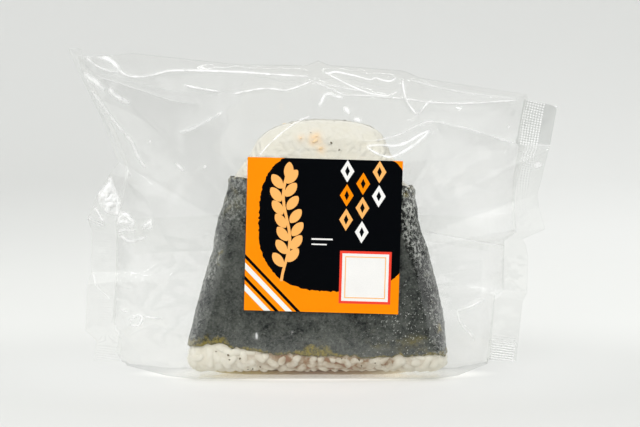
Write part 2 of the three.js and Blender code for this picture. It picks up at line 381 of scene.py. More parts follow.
def addRange(tree, value, low, high, toLow=0.0, toHigh=1.0, smooth=False):
    limits = {0: value, 1: low, 2: high, 3: toLow, 4: toHigh}
    kind = "SMOOTHSTEP" if smooth else "LINEAR"
    return addNode(tree, "ShaderNodeMapRange", limits, interpolation_type=kind).outputs[0]


def addNoise(tree, place, scale, detail=2.0, rough=0.5, twist=0.0):
    values = {"Vector": place, "Scale": scale, "Detail": detail, "Roughness": rough, "Distortion": twist}
    return addNode(tree, "ShaderNodeTexNoise", values).outputs[0]


def addBump(tree, height, strength, distance, more=None):
    values = {"Height": height, "Strength": strength, "Distance": distance, **(more or {})}
    return addNode(tree, "ShaderNodeBump", values).outputs[0]


def addVectorMath(tree, operation, **values):
    names = {"first": 0, "second": 1, "scale": "Scale"}
    values = {names[key]: value for key, value in values.items()}
    return addNode(tree, "ShaderNodeVectorMath", values, operation=operation)


def readValue(tree, name, output="Fac"):
    return addNode(tree, "ShaderNodeAttribute", attribute_name=name).outputs[output]


def readPlace(tree, kind="Object"):
    # the place that is shaded, and its three shares
    place = addNode(tree, "ShaderNodeTexCoord").outputs[kind]
    return place, addNode(tree, "ShaderNodeSeparateXYZ", {0: place}).outputs


def readFacing(tree, more=None):
    return addNode(tree, "ShaderNodeLayerWeight", {"Blend": 0.5, **(more or {})}).outputs["Facing"]


def newMaterial(name):
    material = bpy.data.materials.new(name)
    material.use_nodes = True
    material.node_tree.nodes.clear()
    return material, material.node_tree


def addSkin(tree, colour, roughness, specular, more):
    # the Principled shader and the material's output
    values = {"Base Color": colour, "Roughness": roughness, "Specular IOR Level": specular, **more}
    skin = addNode(tree, "ShaderNodeBsdfPrincipled", values)
    addNode(tree, "ShaderNodeOutputMaterial", {0: skin.outputs[0]})


def newGroup(name, inputs, outputs):
    group = bpy.data.node_groups.new(name, "ShaderNodeTree")
    for label, kind, value in inputs:
        group.interface.new_socket(name=label, in_out="INPUT", socket_type=kind).default_value = value
    for label, kind in outputs:
        group.interface.new_socket(name=label, in_out="OUTPUT", socket_type=kind)
    return group, group.nodes.new("NodeGroupInput").outputs


def makeMottleGroup():
    # two sizes of soft blotch mixed into one value from 0 to 1
    group, given = newGroup(
        "softMottle",
        [("Large", "NodeSocketFloat", 80.0), ("Fine", "NodeSocketFloat", 600.0),
         ("Fine Share", "NodeSocketFloat", 0.4)],
        [("Value", "NodeSocketFloat")],
    )
    place = addNode(group, "ShaderNodeTexCoord").outputs["Object"]
    large, fine = (addNoise(group, place, given[size], 4.0, 0.6) for size in ("Large", "Fine"))
    mixed = addNode(group, "ShaderNodeMix", {0: given["Fine Share"], 2: large, 3: fine}, data_type="FLOAT")
    addNode(group, "NodeGroupOutput", {"Value": addRange(group, mixed.outputs[0], 0.3, 0.7)})
    return group


mottleGroup = makeMottleGroup()


def addMottle(tree, large, fine, fineShare):
    values = {"Large": large, "Fine": fine, "Fine Share": fineShare}
    return addNode(tree, "ShaderNodeGroup", values, node_tree=mottleGroup).outputs[0]


def makeInkGrainGroup():
    # an ink's colour with faint paper grain and uneven cover
    group, given = newGroup(
        "inkGrain",
        [("Ink", "NodeSocketColor", (1, 1, 1, 1)), ("Amount", "NodeSocketFloat", 0.06)],
        [("Color", "NodeSocketColor"), ("Roughness", "NodeSocketFloat"), ("Height", "NodeSocketFloat")],
    )
    soft, amount = addMottle(group, 120.0, 2600.0, 0.5), given["Amount"]
    cover = addMath(group, "MULTIPLY_ADD", soft, amount, 1.0)
    cover = addMath(group, "SUBTRACT", cover, product(group, amount, 0.5))
    colour = addVectorMath(group, "SCALE", first=given["Ink"], scale=cover).outputs[0]
    roughness = addRange(group, soft, 0, 1, 0.34, 0.46)
    addNode(group, "NodeGroupOutput", {"Color": colour, "Roughness": roughness, "Height": soft})
    return group


inkGrainGroup = makeInkGrainGroup()


# ---- clear film ----

filmLook = {
    "tint": (0.992, 0.993, 0.989),  # what one layer lets through, seen square on
    "edgeTint": (0.94, 0.948, 0.944),  # and seen along the layer
    "sealTint": (0.905, 0.91, 0.905),  # where the seal is pressed hard
    "gloss": 0.045,
    "wrinkle": 0.25,
}


def makeFilmMaterial(name, bumpScale, bumpDistance, whiteness, welded=False, mirrorShare=1.0):
    material, tree = newMaterial(name)
    place = addNode(tree, "ShaderNodeTexCoord").outputs["Object"]
    bump = addBump(tree, addNoise(tree, place, bumpScale, 3.0, 0.55), filmLook["wrinkle"], bumpDistance)
    facing = readFacing(tree, {"Normal": bump})
    # a layer of film mirrors at both its faces, the same from inside and outside
    steep = product(tree, addMath(tree, "POWER", facing, 5.0), 0.4 if welded else 0.96)
    mirror = total(tree, steep, 0.04)
    if not welded:
        mirror = addMath(tree, "DIVIDE", product(tree, mirror, 2.0), total(tree, mirror, 1.0))
    # light on its way to the food and the floor passes freely
    path = addNode(tree, "ShaderNodeLightPath").outputs
    passing = addMath(tree, "MAXIMUM", path["Is Shadow Ray"], path["Is Diffuse Ray"])
    kept = addMath(tree, "SUBTRACT", 1.0, passing)
    mirror = product(tree, mirror, product(tree, kept, mirrorShare))
    tint = addMix(tree, addMath(tree, "POWER", facing, 3.0), filmLook["tint"], filmLook["edgeTint"])
    if welded:
        tint = addMix(tree, readValue(tree, "shade"), tint, filmLook["sealTint"])
    tint = addMix(tree, passing, tint, (1.0, 1.0, 1.0))
    through = addNode(tree, "ShaderNodeBsdfTransparent", {"Color": tint}).outputs[0]
    gloss = addNode(tree, "ShaderNodeBsdfGlossy", {"Roughness": filmLook["gloss"], "Normal": bump}).outputs[0]
    clear = addNode(tree, "ShaderNodeMixShader", {0: mirror, 1: through, 2: gloss}).outputs[0]
    # painted highlights: creases and the crimp's pressed dots scatter white where they would glint, partly a
    # sharp crease's own whitening; the same white carries the film's haze and painted light
    fleck = addRange(tree, addNoise(tree, place, 700.0), 0.35, 0.65)
    pale = addMix(tree, fleck, (0.93, 0.935, 0.93), (1.0, 1.0, 1.0))
    white = addNode(tree, "ShaderNodeBsdfDiffuse", {"Color": pale}).outputs[0]
    amount = product(tree, addMath(tree, "MULTIPLY", readValue(tree, "hazeAndPaintedLight"), whiteness, clamp=True), kept)
    frosted = addNode(tree, "ShaderNodeMixShader", {0: amount, 1: clear, 2: white}).outputs[0]
    addNode(tree, "ShaderNodeOutputMaterial", {0: frosted})
    return material


# Folds of the film: points (x, z), the bead's height and half width, and the height
# and reach of the broad facets that meet at it. The bead's height also sets how bright its painted highlight
# is.
frontFolds = [
    ([(-75.3, 103.9), (-72.9, 101.8), (-70.5, 100.2)], 0.3, 0.5, 0.4, 3),
    ([(-72.4, 102.3), (-70.5, 102.9), (-68.4, 102.3), (-65.2, 101), (-63.1, 99.1),
      (-62.1, 97.6)], 0.5, 0.8, 0.5, 3),
    ([(-71.3, 100.4), (-69.2, 99.1), (-65.2, 97.5), (-62.1, 97.3)], 0.3, 0.5, 0.3, 2),
    ([(-62.4, 97.9), (-59.9, 96.3), (-57.2, 95.7), (-53, 95.9), (-46.6, 97.5), (-40.8, 97.7), (-33.3, 97.6),
      (-25.4, 97.3), (-21.2, 97.1), (-14.8, 96.6), (-6.8, 96.1), (-1.5, 95.8)], 0.45, 0.5, 0.9, 5),
    ([(-41.9, 93.2), (-38.7, 92.4), (-34.4, 91.6), (-29.4, 90.8)], 0.35, 0.45, 0.5, 4),
    ([(-26.2, 90.1), (-21.7, 91), (-16.4, 91.9), (-11.6, 91.7), (-9.5, 91.3), (-5.8, 92.2),
      (-0.4, 94.4)], 0.35, 0.45, 0.6, 4),
    ([(-74, 96.7), (-70.5, 94.6), (-66.8, 91.2)], 0.5, 1.2, 0.5, 4),
    ([(-65.7, 92.2), (-63.6, 89.9), (-58.8, 86.9)], 0.45, 1.0, 0.5, 4),
    ([(-74.2, 97), (-65.2, 94.6), (-57.2, 92), (-49.3, 89.3), (-44, 87.8), (-36, 86.8)], 0.2, 0.4, 0.7, 5),
    ([(-71.6, 92), (-68.4, 87.7), (-63.6, 81.3), (-61, 78.2), (-58.3, 75), (-56.2, 70.2),
      (-53.5, 66)], 0.25, 0.8, 0.9, 6),
    ([(-28.6, 84.8), (-33.3, 81.9), (-39.7, 78.7), (-43.5, 78.2)], 0.22, 0.9, 0.5, 4),
    ([(-17.7, 70), (-14.8, 73.4), (-10.5, 77.4), (-5.8, 80.8), (-1, 83.2)], 0.35, 0.45, 0.15, 2),
    ([(-44.5, 68.4), (-41.1, 65.2)], 0.45, 0.7, 0.2, 3),
    ([(3.6, 97.6), (4.4, 96.7), (7.1, 97.3), (11.1, 96.5), (15.3, 95.5), (18.5, 94.7), (19.6, 95.4),
      (22.2, 94.6), (24.6, 94.3), (26.7, 95.4)], 0.4, 0.45, 0.6, 4),
    ([(4.4, 96.7), (7.9, 94.9), (12.7, 92.5), (18, 90.4), (22.2, 89.8), (24.6, 89.8),
      (27, 91.1)], 0.35, 0.45, 0.4, 3),
    ([(-0.1, 94.3), (4.7, 92.2), (9.5, 90.1), (11.6, 89.8), (18, 89.6), (24.4, 89.1), (29.6, 88.7),
      (36, 87.7), (42.4, 87.2), (50.9, 87.2), (59.4, 87.8), (65.5, 88.1)], 0.3, 0.4, 0.6, 5),
    ([(-0.1, 94.6), (4.2, 93.3), (9.5, 92.2), (14.2, 91.4), (19.6, 90.4)], 0.25, 0.4, 0.2, 3),
    ([(28.5, 94.9), (29.1, 90.9), (30.2, 87.4), (32.3, 84.5), (33.3, 83.2)], 0.5, 0.55, 0.9, 5),
    ([(33.3, 83.2), (34.9, 85.3), (36.5, 87.2), (38.1, 88.2)], 0.45, 0.5, 0.6, 4),
    ([(31, 94.8), (36, 93.4), (43.5, 91.6), (54, 89.9), (65.5, 88.6)], 0.2, 0.45, 0.3, 3),
    ([(14, 75.2), (18.5, 75.2), (22.8, 75.8), (27.5, 77.3), (32.8, 80), (37.1, 81.3),
      (42.4, 80.5)], 0.25, 0.5, 0.3, 3),
    ([(16.9, 73.4), (20.6, 73.8), (25.9, 73.6), (29.6, 74.7), (33.9, 77.1), (37.3, 78.7)], 0.45, 0.6, 0.4, 3),
    ([(16.9, 73.4), (19, 71.8), (21.7, 70.6), (24.9, 70.1), (28.6, 71.8), (32.8, 74.4), (36, 77.3),
      (37.3, 78.7)], 0.45, 0.6, 0.4, 3),
    ([(39.2, 81.9), (43.5, 80.3), (48.7, 79.2), (56.7, 76.8), (65, 74.1)], 0.22, 0.75, 0.8, 5),
    ([(1.5, 86.1), (2.6, 87.7), (3.6, 89.8), (5.5, 90.2), (7.1, 89.4), (9.8, 89.2)], 0.4, 0.7, 0.3, 3),
    ([(9.2, 86.0), (10.6, 85.2), (11.9, 83.6)], 0.5, 1.0, 0.2, 2),
    ([(12.6, 82.4), (14.0, 82.0), (15.6, 81.3)], 0.4, 0.75, 0.2, 2),
    ([(29.9, 63.8), (31.8, 66.5)], 0.2, 0.5, 0.1, 2),
    # the crumple by the left seal
    ([(-62.4, 52.6), (-58.4, 49.9), (-57.9, 48.9), (-58.8, 46.7)], 0.5, 0.85, 0.6, 3),
    ([(-63.2, 48.6), (-62.2, 50.6), (-60.3, 51.6), (-58.4, 50.8)], 0.5, 0.8, 0.4, 2),
    ([(-62.8, 48.6), (-61.3, 49.4), (-57.9, 48.9)], 0.5, 0.8, 0.4, 2),
    ([(-62.8, 46), (-60.6, 46.6), (-56.9, 46.2)], 0.5, 0.75, 0.4, 2),
    ([(-54.9, 46.9), (-52.2, 49.2), (-52.5, 46.4)], 0.5, 0.75, 0.4, 2),
    ([(-61, 62.9), (-57.4, 60.2), (-53, 55.7), (-48.1, 45), (-45.1, 39.1)], 0.12, 0.6, 0.9, 5),
    ([(-62.4, 45.2), (-58.8, 43), (-53, 44.5)], 0.3, 0.7, -0.8, 4),
    # below it
    ([(-41.2, 38.6), (-45.1, 32.7), (-50, 26.4), (-54.4, 20.5)], 0.17, 0.5, 0.6, 4),
    ([(-44.5, 39.2), (-50, 35.6), (-56, 31.8), (-61, 29.6)], 0.16, 0.5, 0.4, 4),
    ([(-48.5, 35.2), (-53, 31.3), (-57.4, 27.4)], 0.16, 0.5, 0.5, 4),
    ([(-62.3, 28.3), (-56.9, 27.6)], 0.2, 0.6, 0.5, 3),
    ([(-62.3, 21.4), (-58.8, 20)], 0.3, 0.6, 0.4, 3),
    ([(-59.1, 17.1), (-56.9, 19), (-54.9, 18.8), (-55.9, 16.1), (-58.8, 15.8)], 0.5, 0.6, 0.5, 2),
    ([(-54.9, 19), (-48.1, 18)], 0.35, 0.5, 0.4, 3),
    ([(-48.1, 17.5), (-47.6, 11.6), (-46.6, 4.8)], 0.12, 0.7, -0.5, 3),
    ([(-41.2, 11.6), (-40.7, 8.2), (-41.7, 4.8)], 0.2, 0.5, 0.3, 2),
    # right of the rice
    ([(45.9, 20.6), (50.1, 22), (54.8, 24.4)], 0.4, 0.5, 0.5, 3),
    ([(45.9, 20.6), (47.5, 16.2), (50.1, 13.5), (51.4, 10.9)], 0.35, 0.5, 0.4, 3),
    ([(45.9, 20.6), (44.4, 16.6), (42.6, 11), (41.4, 7.4)], 0.18, 0.45, 0.3, 3),
    # small ones over the seaweed
    ([(-18.3, 13.8), (-18.1, 11.2)], 0.6, 0.6, 0.0, 2),
    ([(-6.7, 14.6), (-6.9, 12.9)], 0.25, 0.5, 0.0, 2),
    ([(6.6, 16.4), (7.6, 16.1)], 0.3, 0.5, 0.0, 2),
    ([(8.8, 15.9), (9.6, 15.5)], 0.35, 0.5, 0.0, 2),
    ([(6.4, 6.9), (7.4, 6.7)], 0.4, 0.6, 0.0, 2),
    ([(27.4, 19.4), (28.4, 20.0)], 0.22, 0.4, 0.0, 2),
    ([(31.5, 14.1), (32.4, 13.7)], 0.25, 0.4, 0.0, 2),
    ([(33.2, 21.9), (34.0, 22.6)], 0.22, 0.4, 0.0, 2),
    ([(54.2, 41.4), (53.9, 24.2), (54.4, 8)], 0.14, 0.7, 0.6, 4),
    ([(44.6, 56), (52, 57.5), (60, 60)], 0.1, 0.6, 0.5, 5),
    ([(55.8, 4.9), (60.3, 5.3), (64.6, 4.6)], 0.3, 0.5, 0.2, 2),
    ([(61.9, 79.8), (63.2, 79.4)], 0.35, 0.8, 0.1, 2),
    ([(-35.3, 67.3), (-34.5, 66.3)], 0.4, 0.9, 0.1, 2),
    ([(-52.9, 75.3), (-52.0, 74.7)], 0.35, 0.8, 0.1, 2),
    ([(28.6, 66.6), (28.0, 61.6)], 0.5, 0.9, 0.1, 2),
    ([(33.0, 84.6), (33.5, 83.0)], 0.5, 1.2, 0.1, 2),
]

frontFolds = [(np.stack(ontoFront(*np.array(line, float).T), 1), *rest) for line, *rest in frontFolds]

backFolds = [
    ([(36.5, 44.6), (44, 43.4), (51.3, 42.4), (61, 41.4), (66, 41.2)], 0.6, 0.48, 0.3, 3),
    ([(47.8, 36), (47.5, 27.4), (47.8, 8)], 0.18, 0.6, 0.6, 3),
    ([(50.1, 36), (50.4, 27.4), (50.1, 8)], 0.18, 0.6, -0.5, 3),
    ([(-70, 98), (-55, 93), (-38, 90), (-24, 91)], 0.2, 0.5, 0.8, 5),
    ([(-68, 88), (-56, 82), (-47, 74)], 0.12, 0.6, 0.8, 5),
    ([(-20, 96), (-4, 93.5), (8, 95), (24, 92)], 0.2, 0.5, 0.6, 4),
    ([(60, 86), (48, 84), (36, 84.5), (27, 87)], 0.16, 0.5, 0.8, 5),
    ([(62, 72), (50, 71), (41, 67)], 0.14, 0.6, 0.9, 5),
    ([(60, 58), (50, 60), (42, 57)], 0.12, 0.6, 0.7, 5),
    ([(-60, 62), (-52, 60), (-44, 56)], 0.12, 0.6, 0.8, 5),
    ([(-62, 34), (-54, 31), (-48, 24)], 0.14, 0.6, 0.8, 5),
    ([(-60, 12), (-52, 15), (-47, 12)], 0.12, 0.6, 0.6, 4),
    ([(-12, 79), (0, 85), (12, 80)], 0.14, 0.5, 0.3, 3),
]


filmSizes = {
    "beadShare": 0.5,
    "backWhite": 0.7,  # painted highlight of the back's folds, seen through the front
    "haze": (0.17, 0.06),  # low down and at the top
    # painted light: more haze at the right makes that side brighter
    "rightPaintedLight": 1.5,
    # painted light: white over the top of the ball evens its shading
    "domePaintedLight": 0.08,
    "edgePaintedLight": 0.1,  # painted light where the film meets its crimped strips, lifting a dark line there
    # painted light: milky white at the foot lifts the shade under the ball
    "footPaintedLight": 0.12,
    "edgeStep": 1.0,
    "gridStep": 1.15,
    "gridFrom": 2.9,  # below this height, rows of their own follow the rounded foot
    "footRows": (0.12, 0.4, 0.8, 1.5, 2.4),
    "foldStep": 0.7,
    "foldRows": (-1, -0.62, -0.3, 0, 0.3, 0.62, 1),  # lines of points across a fold, in half widths
    "rimRows": 6,
    "waveHeight": 0.35,  # gentle waves of the free film
    "waveCell": 13.0,
    "leastHalf": 0.1,
    "mostHalf": 16.85,  # the front stays behind the label's plane
}


def foldLift(x, z, folds):
    # how far the folds stand out of the film at each point, and how white they are, a painted highlight along
    # each crease that is partly its own whitening
    lift, white = np.zeros(len(x)), np.zeros(len(x))
    streaks = 0.75 + 0.35 * layeredNoise(x, z, 1.8, 88, 2)
    for points, bead, width, broad, reach in folds:
        line = curved(points, 0.7)
        near = boxed(x, z, line, 4 * reach)
        if not len(near):
            continue
        a, d = line[:-1], np.diff(line, axis=0)
        px, pz = x[near, None] - a[None, :, 0], z[near, None] - a[None, :, 1]
        t = np.clip((px * d[:, 0] + pz * d[:, 1]) / (d**2).sum(1), 0, 1)
        away = np.hypot(px - t * d[:, 0], pz - t * d[:, 1])
        best = away.argmin(1)
        rows = np.arange(len(near))
        along = (best + t[rows, best]) / len(d)
        away = away[rows, best]
        fade = np.clip(np.minimum(along, 1 - along) * np.linalg.norm(d, axis=1).sum() / 2.0, 0, 1) ** 0.7
        sharp = bead * filmSizes["beadShare"] * np.cos(math.pi / 2 * np.minimum(1, away / width)) ** 2
        lift[near] += fade * (sharp + broad * np.exp(-away / reach))
        # painted highlight: the crease's white line
        strength = min(1.0, max(0.05, (bead - 0.12) / 0.28))
        bright = np.exp(-((away / (0.2 + 0.9 * max(0, width - 0.4))) ** 2))
        white[near] = np.maximum(white[near], fade**0.6 * strength * bright * streaks[near])
    return lift, np.clip(white, 0, 1)


def innerOutline():
    # the film's edge: along the folds and the inner side of the crimped strips
    edge = []
    for corner, following in zip(outlineTable, np.roll(outlineTable, -1, axis=0)):
        step = following - corner
        count = max(1, int(round(math.hypot(step[0], step[1]) / filmSizes["edgeStep"])))
        edge += [corner + step * k / count for k in range(count)]
    edge, heart = np.array(edge), np.array(packSizes["heart"])
    out = edge[:, :2] - heart
    reach = np.hypot(out[:, 0], out[:, 1])
    return heart + out * ((reach - edge[:, 3]) / reach)[:, None]


def filmSide(edge, folds):
    # triangles over one face of the film, with lines of points along every fold
    s = filmSizes
    step = s["gridStep"]
    gx, gz = np.meshgrid(np.arange(-77, 77, step), np.arange(0.3, 104, step * 0.87))
    gx = gx + (np.arange(gx.shape[0]) % 2)[:, None] * step / 2
    gx, gz = gx.ravel(), gz.ravel()
    free = gz > s["gridFrom"]
    foldPoints = []
    for line, _, width, _, _ in folds:
        middle = curved(line, s["foldStep"])
        along = np.gradient(middle, axis=0)
        across = units(np.stack([-along[:, 1], along[:, 0]], 1))
        foldPoints += [middle + across * offset * width for offset in s["foldRows"]]
        at = boxed(gx, gz, middle, 2)
        free[at[awayFrom(gx[at], gz[at], middle) < width + 0.45]] = False
    low = np.array([(x, z) for z in s["footRows"] for x in np.arange(-46, 46, 1.0)])
    loose = np.vstack([np.stack([gx, gz], 1)[free], low, *foldPoints])
    loose = loose[insidePolygon(loose[:, 0], loose[:, 1], edge)]
    away = awayFrom(loose[:, 0], loose[:, 1], edge)
    # the steep rows near the base may come close to its edge
    loose = loose[(away > 0.62) | ((loose[:, 1] < 1.2) & (np.abs(loose[:, 0]) < 37))]
    every = np.vstack([edge, loose])
    found = delaunay_2d_cdt([Vector(p) for p in every.tolist()], [], [list(range(len(edge)))], 1, 0.02, True)
    flat = np.array([tuple(v) for v in found[0]])
    place = {old: new for new, olds in enumerate(found[3]) for old in olds}
    # the hollows of the outline stay open
    faces = np.array([list(f) for f in found[2]])
    middles = flat[faces].mean(1)
    faces = faces[insidePolygon(middles[:, 0], middles[:, 1], edge)]
    return flat, faces.tolist(), np.array([place[i] for i in range(len(edge))])


def labelStand(x, z):
    # the half thickness that the film needs behind the flat label, and how far beyond it a place is
    s = labelSizes
    turn = math.radians(s["turn"])
    mx, mz = s["middle"]
    across = np.abs((x - mx) * math.cos(turn) - (z - mz) * math.sin(turn))
    up = np.abs((x - mx) * math.sin(turn) + (z - mz) * math.cos(turn))
    beyond = np.hypot(np.clip(across - s["width"] / 2, 0, None), np.clip(up - s["height"] / 2, 0, None))
    near, far, farAt = s["falls"]
    return s["filmHalf"] - near * beyond - far * np.maximum(beyond - farAt, 0), beyond


def filmDepth(x, z, side):
    # y of the film's face and how white it is; side is -1 for the front and 1 for the back
    s = filmSizes
    half, behind, slack = filmForm(x, z)
    folds, seed = (frontFolds, 11) if side < 0 else (backFolds, 47)
    loose = np.clip(slack * 1.4, 0, 1)
    lift, white = foldLift(x, z, folds)
    lift = lift * np.clip(0.55 + loose, 0, 1)
    lift = lift + loose * s["waveHeight"] * layeredNoise(x, z, s["waveCell"], seed)
    full, most = half + lift, s["mostHalf"]
    if side < 0:
        stand, beyond = labelStand(x, z)
        full = np.maximum(full, stand)
        most = np.where(beyond < 0.4, labelSizes["filmHalf"], most)
    full = np.maximum(np.minimum(full, most), s["leastHalf"])
    # loose film is a little hazy, more so at the right; over the top of the ball and where it gathers milky
    # at the foot, the white is painted light that evens the ball's shading and lifts the shade at the foot
    haze = np.interp(z, (58, 78), s["haze"]) * loose * np.interp(x, (30, 50), (1, s["rightPaintedLight"]))
    dome = s["domePaintedLight"] * np.clip((z - 64) / 5, 0, 1) * np.clip((84 - z) / 3, 0, 1) * (np.abs(x) < 32)
    foot = s["footPaintedLight"] * np.exp(-((np.maximum(z, 0) / 1.3) ** 2))
    haze = np.maximum(np.maximum(haze, dome), foot)
    return behind + side * full, np.maximum(white, haze)


def makeFilm():
    s = filmSizes
    edge = innerOutline()
    front, faces, frontEdge = filmSide(edge, frontFolds)
    back, backFaces, backEdge = filmSide(edge, backFolds)
    frontY, frontWhite = filmDepth(front[:, 0], front[:, 1], -1)
    backY, backWhite = filmDepth(back[:, 0], back[:, 1], 1)
    # at its edge the film is as thick as the outline says
    half, behind, _ = filmForm(edge[:, 0], edge[:, 1])
    frontY[frontEdge], backY[backEdge] = behind - half, behind + half
    layers = [np.stack([flat[:, 0], y, flat[:, 1]], 1) for flat, y in ((front, frontY), (back, backY))]
    faces = faces + [[v + len(front) for v in reversed(f)] for f in backFaces]
    # the rim closes the two faces: rounded along the folds, flat under the base
    rim = [frontEdge]
    out = units(edge - np.array(packSizes["heart"]))
    for k in range(1, s["rimRows"]):
        turn = math.pi * k / s["rimRows"]
        bulge = edge + out * np.where(half < 1.5, half * math.sin(turn) * 0.6, 0)[:, None]
        rim.append(np.arange(len(edge)) + sum(map(len, layers)))
        layers.append(np.stack([bulge[:, 0], behind - half * math.cos(turn), bulge[:, 1]], 1))
    rim.append(backEdge + len(front))
    for low, high in zip(rim, rim[1:]):
        faces += np.stack([low, high, np.roll(high, -1), np.roll(low, -1)], 1).tolist()
    skin = makeFilmMaterial("clearFilmSkin", 260.0, 0.00035, 0.95)
    piece = addPiece("clearFilm", np.vstack(layers), faces, skin)
    # painted light: the film's rim is whitened at the seals and at the foot
    sealed = spokeForm(out[:, 0], out[:, 1])["strip"] > 2
    frontWhite[frontEdge[sealed]] = s["edgePaintedLight"]
    backWhite[backEdge[sealed]] = s["edgePaintedLight"]
    rimWhite = np.where(sealed, s["edgePaintedLight"], np.where(edge[:, 1] < 5, s["footPaintedLight"], 0))
    rimWhites = np.tile(rimWhite, s["rimRows"] - 1)
    addValues(piece, "hazeAndPaintedLight", np.concatenate([frontWhite, backWhite * s["backWhite"], rimWhites]))
    return piece


# ---- crimped seals ----

crimpSizes = {
    "first": 3.7,  # plain margin outside the crimp
    "last": (8.7, 10.4),  # how far in the crimp reaches, below and in the upper panel
    "panelFrom": 73.6,  # the height where the right seal's upper panel begins
    "columnPitch": 0.86,
    "rowPitch": 0.79,
    "depth": 0.14,
    "thick": 0.16,
    "step": 0.15,
    "overlap": (0.4, 1.2),  # onto the film, likewise
    "topSlope": 0.2,
}

# The bands give a height, how strong the crimp is there, how much of it is columns, and how
# grey the seal is. The marks are lines of painted highlight: points, half width and strength.
crimpSides = {
    "rightCrimp": {
        "corners": packOutline[4:17],
        "haze": 0.02,
        "bands": [(4, 0.6, 0, 0.2), (9, 0.5, 0, 0.1), (12.5, 0.0, 0, 0.0), (40, 0.0, 0.2, 0.0),
                  (58, 0.05, 1, 0.0), (71, 0.4, 1, 0.35), (73.6, 0.4, 1, 0.4), (74.2, 1.0, 1, 1),
                  (87, 1.0, 1, 1)],
        "marks": [([(71.3, 67.4), (71.9, 67.6)], 0.7, 1.0), ([(75.3, 87.4), (77.9, 86.1)], 0.35, 1.0),
                  ([(66.3, 74.6), (70, 74.1), (75.3, 73.8)], 0.25, 0.25),
                  ([(67.3, 86), (66.6, 74.5)], 0.3, 0.2)],
    },
    "leftCrimp": {
        "corners": packOutline[26:39],
        "haze": 0.08,
        "bands": [(4, 0.07, 0, 0.05), (15, 0.05, 0, 0.0), (40, 0.03, 0, 0.0), (104, 0.02, 0, 0.0)],
        "marks": [([(-71.6, 50.4), (-67.7, 48.2)], 0.42, 1.1), ([(-69.4, 53.8), (-67.4, 49.9)], 0.4, 1.0),
                  ([(-64.6, 63.4), (-64.2, 60.2), (-62.6, 57.2)], 0.5, 0.9),
                  ([(-68.3, 59), (-66.8, 56.6)], 0.5, 0.7),
                  ([(-71.5, 32), (-69, 27.4), (-65.5, 24.5)], 0.3, 0.3)],
        "crumple": [(-64.6, 64.0), (-68.6, 58.9), (-68.4, 55.6), (-66.2, 51.8), (-61.6, 50.6), (-61.2, 56.0),
                    (-63.6, 62.4)],
    },
}


def markedLines(x, z, marks):
    # how close each point is to the marked lines, from 0 to their strength
    best = np.zeros(x.shape)
    for line, soft, strength in marks:
        away = awayFrom(x, z, resampled(line, 0.2))
        best = np.maximum(best, strength * np.exp(-((away / soft) ** 2)))
    return best


def stripMiddle(x, z):
    # y of the crimped strip's middle, and of the film where the strip hasn't begun
    dx, dz, at = fromHeart(x, z)
    f = spokeForm(dx, dz)
    share = np.clip((at - f["filmEnd"]) / np.maximum(f["strip"], 0.5), 0, 1)
    return f["rootBack"] + (f["back"] - f["rootBack"]) * share


